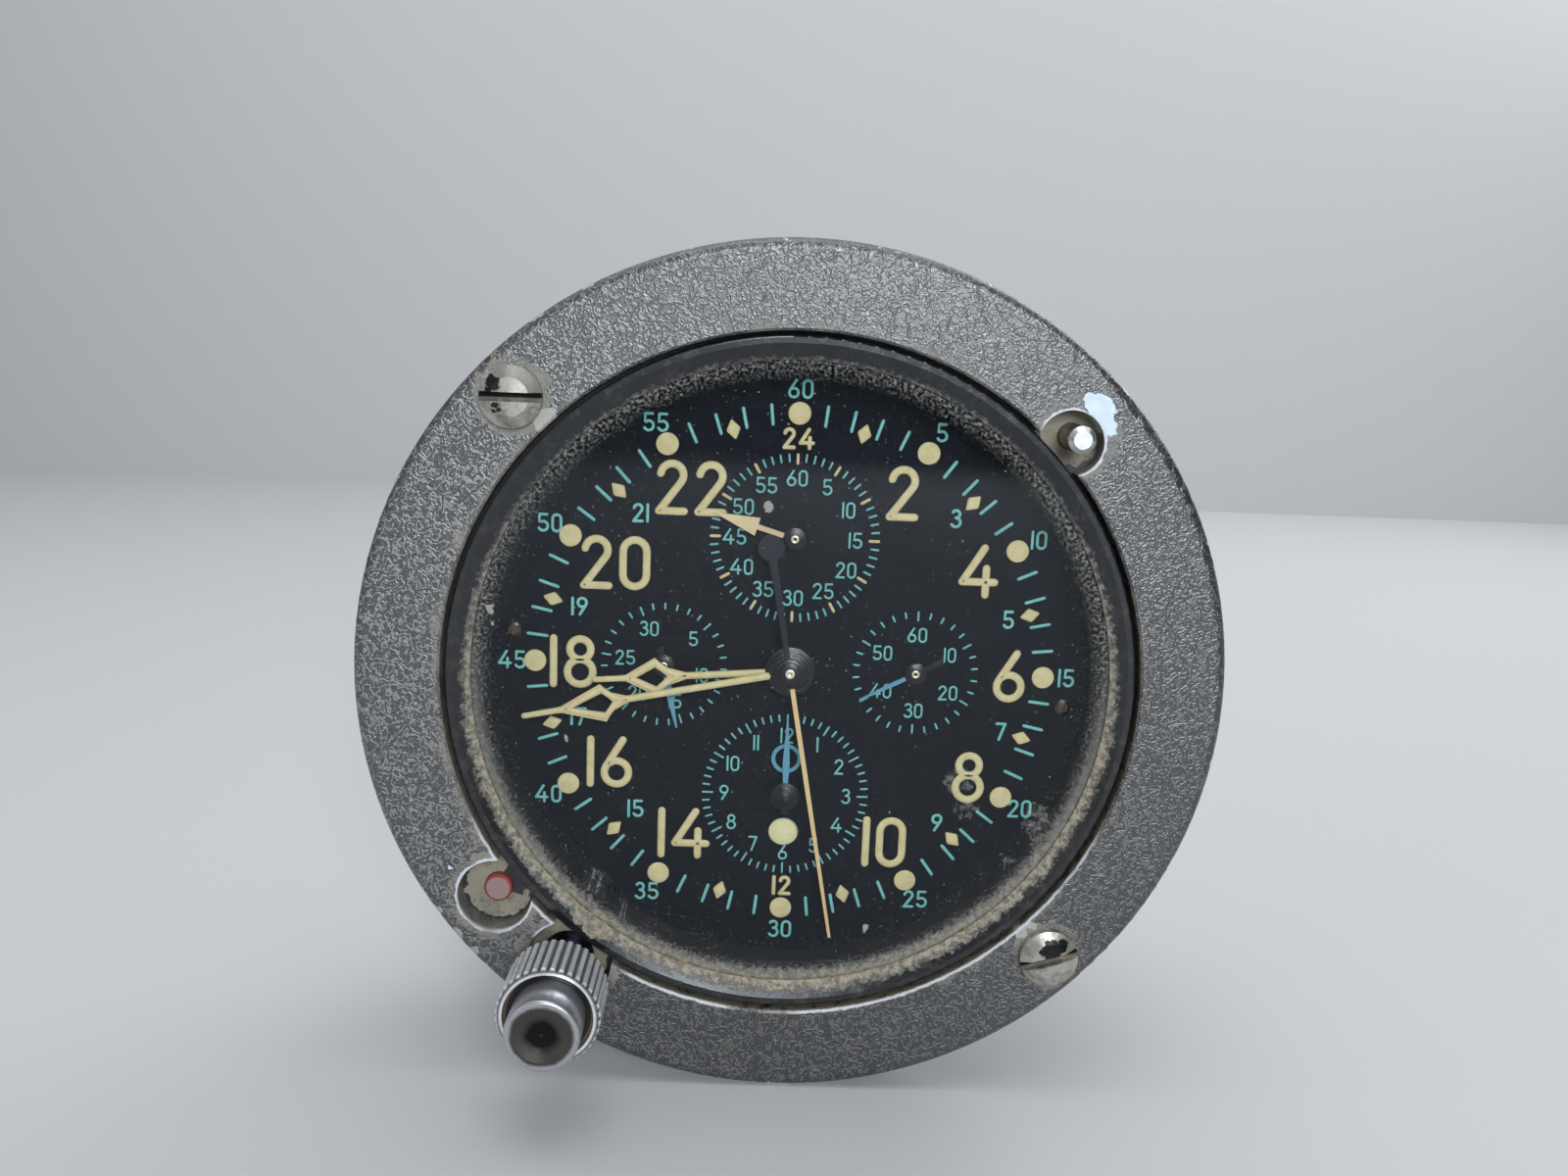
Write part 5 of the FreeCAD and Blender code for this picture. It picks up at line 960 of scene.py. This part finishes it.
# %% Metal group
tarnish, given, tarnish_out = new_group(
    "tarnish", (("Scale", "Float"), ("Share", "Float"), ("Clean", "Color"), ("Stained", "Color")),
    (("Color", "Color"), ("Roughness", "Float"), ("Height", "Float")))
blotch = add_node(tarnish, "ShaderNodeTexNoise", Vector=object_coordinates(tarnish), Scale=given["Scale"],
                  Detail=6.0, Roughness=0.68).outputs["Fac"]
stained = ramp(total(blotch, minus(given["Share"], 0.5)), 0.42, 0.62)
fill(tarnish_out, Color=mixed(stained, given["Clean"], given["Stained"]),
     Roughness=total(product(stained, 0.3), 0.28), Height=blotch)


def metal(name, clean, stain, scale, share, metallic=1.0):
    """A bare metal with stains; it gives the material with its tree, shader and colour."""
    material, metal_tree, metal_shader = new_material(name, clean, 0.35, Metallic=metallic)
    surface = placed(metal_tree, tarnish, Scale=scale, Share=share, Clean=clean, Stained=stain)
    fill(metal_shader, Base_Color=surface["Color"], Roughness=surface["Roughness"])
    relief(metal_shader, surface["Height"], 0.15)
    return material, metal_tree, metal_shader, surface["Color"]


def axis_distance(tree, x, y):
    """The distance in millimetres from an axis that is square to the dial."""
    return placed(tree, spot, Centre=(x, 0.0, y), Radius=1.0, Ragged=0.0, Noise=0.5)["Distance"]


def along(tree, x, y):
    """How far a point lies along a direction of the drawing, in millimetres."""
    node = tree.nodes.new("ShaderNodeVectorMath")
    node.operation = "DOT_PRODUCT"
    node.inputs[1].default_value = (1000 * x, 0.0, 1000 * y)
    tree.links.new(object_coordinates(tree), node.inputs[0])
    return node.outputs["Value"]


# %% [markdown]
# The ring screws are nickel with stains. Flakes of black paint are left on their heads, and
# the lower part of each slot is packed with dust. The upper half of each slot is a painted
# shadow, near black.

# %% Ring screws
SCREW_TOP = front_of("mounting_screws")
SLOT_HALF, SLOT_DEPTH = 0.55, 0.45
worn_nickel, tree, shader, colour = metal("worn_nickel", (0.48, 0.465, 0.42), (0.17, 0.145, 0.11), 520.0,
                                          0.47, 0.85)
flaked = spots(spread(tree, 1100.0, 4.0, 0.7), (
    (31.5, -30.0, 1.2), (32.7, -29.6, 0.75), (30.5, -30.3, 0.5), (-33.2, 32.8, 0.85), (-33.6, 32.2, 0.5),
    (-32.9, 30.45, 0.4), (-32.5, 30.1, 0.3), (-33.0, 29.9, 0.25)), 1.6)
slots, painted_slot_shadows = [], []
for x, y, slot_turn in ((-31.43, 31.43, 0.0), (31.43, -31.43, 17.0)):
    near_screw = placed(tree, spot, Centre=(x, 0.0, y), Radius=3.6, Ragged=0.0, Noise=0.5)["Mask"]
    lean = math.radians(slot_turn)
    middle = -x * math.sin(lean) + y * math.cos(lean)
    off_middle = minus(along(tree, -math.sin(lean), math.cos(lean)), middle)
    off_slot = ramp(math_node("ABSOLUTE", off_middle), SLOT_HALF, SLOT_HALF - 0.04)
    slots.append(product(near_screw, off_slot))
    # The upper half of the slot gets a painted shadow.
    painted_slot_shadows.append(product(slots[-1], ramp(off_middle, -0.12, 0.0)))
deep = ramp(placed(tree, where)["Front"], SCREW_TOP - 0.25, SCREW_TOP - SLOT_DEPTH)
colour = mixed(flaked, colour, (0.02, 0.02, 0.022))
colour = mixed(product(highest(*slots), deep), colour, (0.17, 0.15, 0.12))
# Painted shadow, near black, in the upper half of each slot.
colour = mixed(product(highest(*painted_slot_shadows), deep), colour, (0.008, 0.007, 0.006))
fill(shader, Base_Color=colour)
wear("mounting_screws", worn_nickel)
print("screw heads reach", round(SCREW_TOP, 2), "mm")

# %% [markdown]
# The knob is bright on the crests of its flutes and darker between them. The gutter round
# the push button has painted shade, near black, with a thin brown line of dust. The button
# has a dull dish with a dark middle.

# %% Knob and push button
KNOB_AXIS = (-25.3, -34.8)
knob_steel, tree, shader, colour = metal("knob_steel", (0.74, 0.75, 0.79), (0.52, 0.51, 0.50), 500.0,
                                         0.42, 0.5)
away = axis_distance(tree, *KNOB_AXIS)
ridge = highest(ramp(away, 5.48, 5.66), ramp(away, 5.38, 5.2))
front = placed(tree, where)["Front"]
# Painted shade in the gutter round the push button, with a brown line of dust in it.
gutter = product(ramp(away, 5.3, 5.0), ramp(front, 17.9, 17.6))
brown_line = product(ramp(away, 5.25, 5.1), ramp(away, 4.6, 4.75))
gutter_shade_and_dust_tone = mixed(brown_line, (0.016, 0.014, 0.013), (0.13, 0.095, 0.065))
flute_tone = mixed(ridge, (0.15, 0.147, 0.145), colour)
fill(shader, Base_Color=mixed(gutter, flute_tone, gutter_shade_and_dust_tone))
wear("knob", knob_steel)

button_steel, tree, shader, colour = metal("button_steel", (0.46, 0.465, 0.48), (0.26, 0.25, 0.25), 500.0,
                                           0.38, 0.85)
away = axis_distance(tree, *KNOB_AXIS)
dish = ramp(total(away, product(spread(tree, 600.0), 0.5)), 3.85, 3.5)
core = ramp(total(away, product(spread(tree, 700.0), 0.9)), 2.7, 1.9)
dish_tone = mixed(core, (0.085, 0.078, 0.072), (0.012, 0.012, 0.013))
fill(shader, Base_Color=mixed(dish, colour, dish_tone))
wear("push_button", button_steel)

# %% [markdown]
# The push pin is bright on top, with a painted brown shade below its head. The set pin is red
# enamel, worn pale and pink in the middle, with dust on it.

# %% Pins
SET_AXIS = (-33.49, -26.17)
SET_RED = (0.30, 0.045, 0.04)
pin_metal, tree, shader, colour = metal("pin_metal", (0.66, 0.67, 0.67), (0.46, 0.45, 0.43), 700.0, 0.4)
# Painted shade, brown, on the pin below its head.
painted_shade_below_head = ramp(placed(tree, where)["Front"], 8.6, 8.3)
fill(shader, Base_Color=mixed(painted_shade_below_head, colour, (0.23, 0.19, 0.15)))
wear("pin_button", pin_metal)

set_enamel, tree, shader = new_material("set_enamel", SET_RED, 0.5)
away = axis_distance(tree, *SET_AXIS)
centre = ramp(total(away, product(spread(tree, 900.0), 0.3)), 1.6, 1.45)
enamel_tone = mixed(centre, SET_RED, (0.27, 0.175, 0.165))
fill(shader, Base_Color=placed(tree, dust, Amount=0.46, Below=enamel_tone, Dust=DUST_BROWN)["Color"])
wear("set_button", set_enamel)

# %% [markdown]
# ## Hands and movement
#
# The hands are painted blue, cream or yellow, and each is black at its hub. The paint
# changes at a place along the hand, so it is measured along the hand's own direction.

# %% Paint of the hands
HAND_BLACK = (0.010, 0.012, 0.017)
HAND_BLUE = (0.10, 0.27, 0.36)
HAND_CREAM = (0.60, 0.47, 0.255)
REGISTER_CREAM = (0.62, 0.50, 0.29)
SWEEP_YELLOW = (0.62, 0.45, 0.22)
SHADE = 0.86
EDGE = 0.08


def hand_paint(name, colour, axis, clock_angle, black_below):
    """A painted hand that is black at its hub and its tail, up to a place along the hand."""
    material, hand_tree, hand_shader = new_material(name, colour, 0.5, Specular_IOR_Level=0.2)
    turn = math.radians(clock_angle)
    limit = axis[0] * math.sin(turn) + axis[1] * math.cos(turn) + black_below
    root = ramp(along(hand_tree, math.sin(turn), math.cos(turn)), limit + EDGE, limit - EDGE)
    tone = mixed(spread(hand_tree, 900.0), [SHADE * part for part in colour], colour)
    fill(hand_shader, Base_Color=mixed(root, tone, HAND_BLACK))
    return material


for name, dressed, colour, axis, clock_angle, black_below in (
        ("seconds_hand_paint", SMALL, HAND_BLUE, SECONDS_AXIS, bearing(SMALL, *SECONDS_AXIS), 1.3),
        ("date_hand_paint", "date_hand", HAND_BLUE, DATE_AXIS, bearing("date_hand", *DATE_AXIS), 1.3),
        ("elapsed_hand_paint", "elapsed_hour_hand " + ELAPSED, HAND_BLUE, ELAPSED_AXIS, 0.0, 1.3),
        ("register_hand_paint", "register_hand", REGISTER_CREAM, REGISTER_AXIS,
         bearing("register_hand", *REGISTER_AXIS), 1.4),
        ("hour_hand_paint", "hour_hand", HAND_CREAM, CENTRE_AXIS, HOUR_ANGLE, 2.8),
        ("minute_hand_paint", "minute_hand", HAND_CREAM, CENTRE_AXIS, MINUTE_ANGLE, 2.4),
        ("sweep_hand_paint", SWEEP, SWEEP_YELLOW, CENTRE_AXIS, bearing(SWEEP), 1.9)):
    wear(dressed, hand_paint(name, colour, axis, clock_angle, black_below))
wear("indicator_disc", paint("indicator_paint", (0.56, 0.53, 0.29), (0.63, 0.59, 0.335), 0.6, 700.0, 0.2))

# %% [markdown]
# The movement behind the dial is brass, nickel plate and steel. It isn't seen from
# outside, but each of its pieces gets the metal that it is made of.

# %% Metals of the movement
for name, clean, stain, scale, share, dressed in (
        ("turned_brass", (0.72, 0.52, 0.22), (0.45, 0.30, 0.12), 300.0, 0.35,
         "barrel_drum barrel_cover intermediate_wheel centre_wheel third_wheel fourth_wheel escape_wheel "
         "balance_wheel dial_support_ring minute_wheel hour_wheel"),
        ("nickel_plate", (0.66, 0.63, 0.56), (0.5, 0.46, 0.38), 250.0, 0.3,
         "front_plate rear_plate pillars"),
        ("bright_steel", (0.55, 0.55, 0.56), (0.35, 0.34, 0.33), 400.0, 0.3,
         "plate_screws cover_screws minute_wheel_post transfer_post pallet_fork cannon_pinion sweep_arbor "
         "register_arbor elapsed_minute_arbor elapsed_hour_tube date_arbor ratchet_wheel barrel_arbor "
         "transfer_wheel knob_stem"),
        ("dark_screw", (0.09, 0.07, 0.06), (0.03, 0.03, 0.03), 900.0, 0.4, "dial_screws"),
        ("blued_steel", (0.05, 0.055, 0.07), (0.09, 0.08, 0.07), 500.0, 0.4, "knob_sleeve knob_bush")):
    wear(dressed, metal(name, clean, stain, scale, share)[0])

# %% [markdown]
# ## Camera and room
#
# The photograph was taken from close by, slightly above and to the left of the middle
# of the dial. The floor is a plain pale plane under the ring, with a plain backdrop
# behind. Soft light falls from above and in front, and a weak lamp lights the back.

# %% Camera
CAMERA_PLACE = Vector((-0.0036, -0.1511, 0.03866))
CAMERA_AIM = Vector((0.0163, 0.9826, -0.185))
CAMERA_UP = Vector((-0.0353, 0.1855, 0.982))
camera_data = bpy.data.cameras.new("camera")
camera = bpy.data.objects.new("camera", camera_data)
bpy.context.scene.collection.objects.link(camera)
camera_data.sensor_width = 36.0
camera_data.lens = 30.375
camera_data.clip_start = 0.005
back = -CAMERA_AIM.normalized()
side = CAMERA_UP.cross(back).normalized()
turn = Matrix((side, back.cross(side), back)).transposed()
camera.matrix_world = Matrix.Translation(CAMERA_PLACE) @ turn.to_4x4()
bpy.context.scene.camera = camera
print("camera with a lens of", camera_data.lens, "mm")

# %% Floor and backdrop
FLOOR_COLOUR = (0.52, 0.52, 0.53)
FLOOR_SIZE = 3.0
floor_height = cad_low.z


def plain_sheet(name, centre, tilt):
    """A large plain plane that isn't part of the clock."""
    bpy.ops.object.select_all(action="DESELECT")
    bpy.ops.mesh.primitive_plane_add(size=FLOOR_SIZE, location=centre, rotation=(tilt, 0, 0))
    sheet = bpy.context.object
    sheet.name = name
    return sheet


floor = plain_sheet("floor", (0, 0, floor_height), 0)
backdrop = plain_sheet("backdrop", (0, 0.6, floor_height), math.radians(90))
pale = new_material("pale_sheet", FLOOR_COLOUR, 0.9)[0]
for sheet in (floor, backdrop):
    sheet.data.materials.append(pale)
print("floor at", round(floor_height, 4), "m")

# %% Lamps and world


def soft_box(name, place_at, aim, size, power, colour=(1, 1, 1)):
    """A square area lamp that points at a place."""
    data = bpy.data.lights.new(name, "AREA")
    data.size = size
    data.energy = power
    data.color = colour
    lamp = bpy.data.objects.new(name, data)
    bpy.context.scene.collection.objects.link(lamp)
    lamp.location = place_at
    direction = Vector(aim) - Vector(place_at)
    lamp.rotation_mode = "QUATERNION"
    lamp.rotation_quaternion = direction.to_track_quat("-Z", "Y")


soft_box("window", (0.11, -0.74, 0.265), (0, 0, 0), 0.3, 5.4, (0.87, 0.94, 1.0))
soft_box("ceiling", (0.0, -0.15, 0.8), (0, 0, 0), 0.5, 1.6, (0.95, 0.97, 1.0))
soft_box("left_fill", (-0.7, -0.5, 0.3), (0, 0, 0), 0.5, 0.7, (0.97, 0.98, 1.0))
soft_box("backdrop_wash", (0.0, 0.3, 0.6), (0, 0.62, 0.05), 0.9, 3.0, (0.97, 0.98, 1.0))
soft_box("rear_fill", (0.45, 0.5, 0.4), (0, 0, 0), 0.4, 2.0, (0.97, 0.98, 1.0))
world = bpy.data.worlds.new("soft_room")
bpy.context.scene.world = world
world.use_nodes = True
fill(world.node_tree.nodes["Background"], Color=(0.9, 0.95, 1.0), Strength=0.16)
bpy.context.scene.view_settings.view_transform = "Standard"
print("lamps:", len(bpy.data.lights))
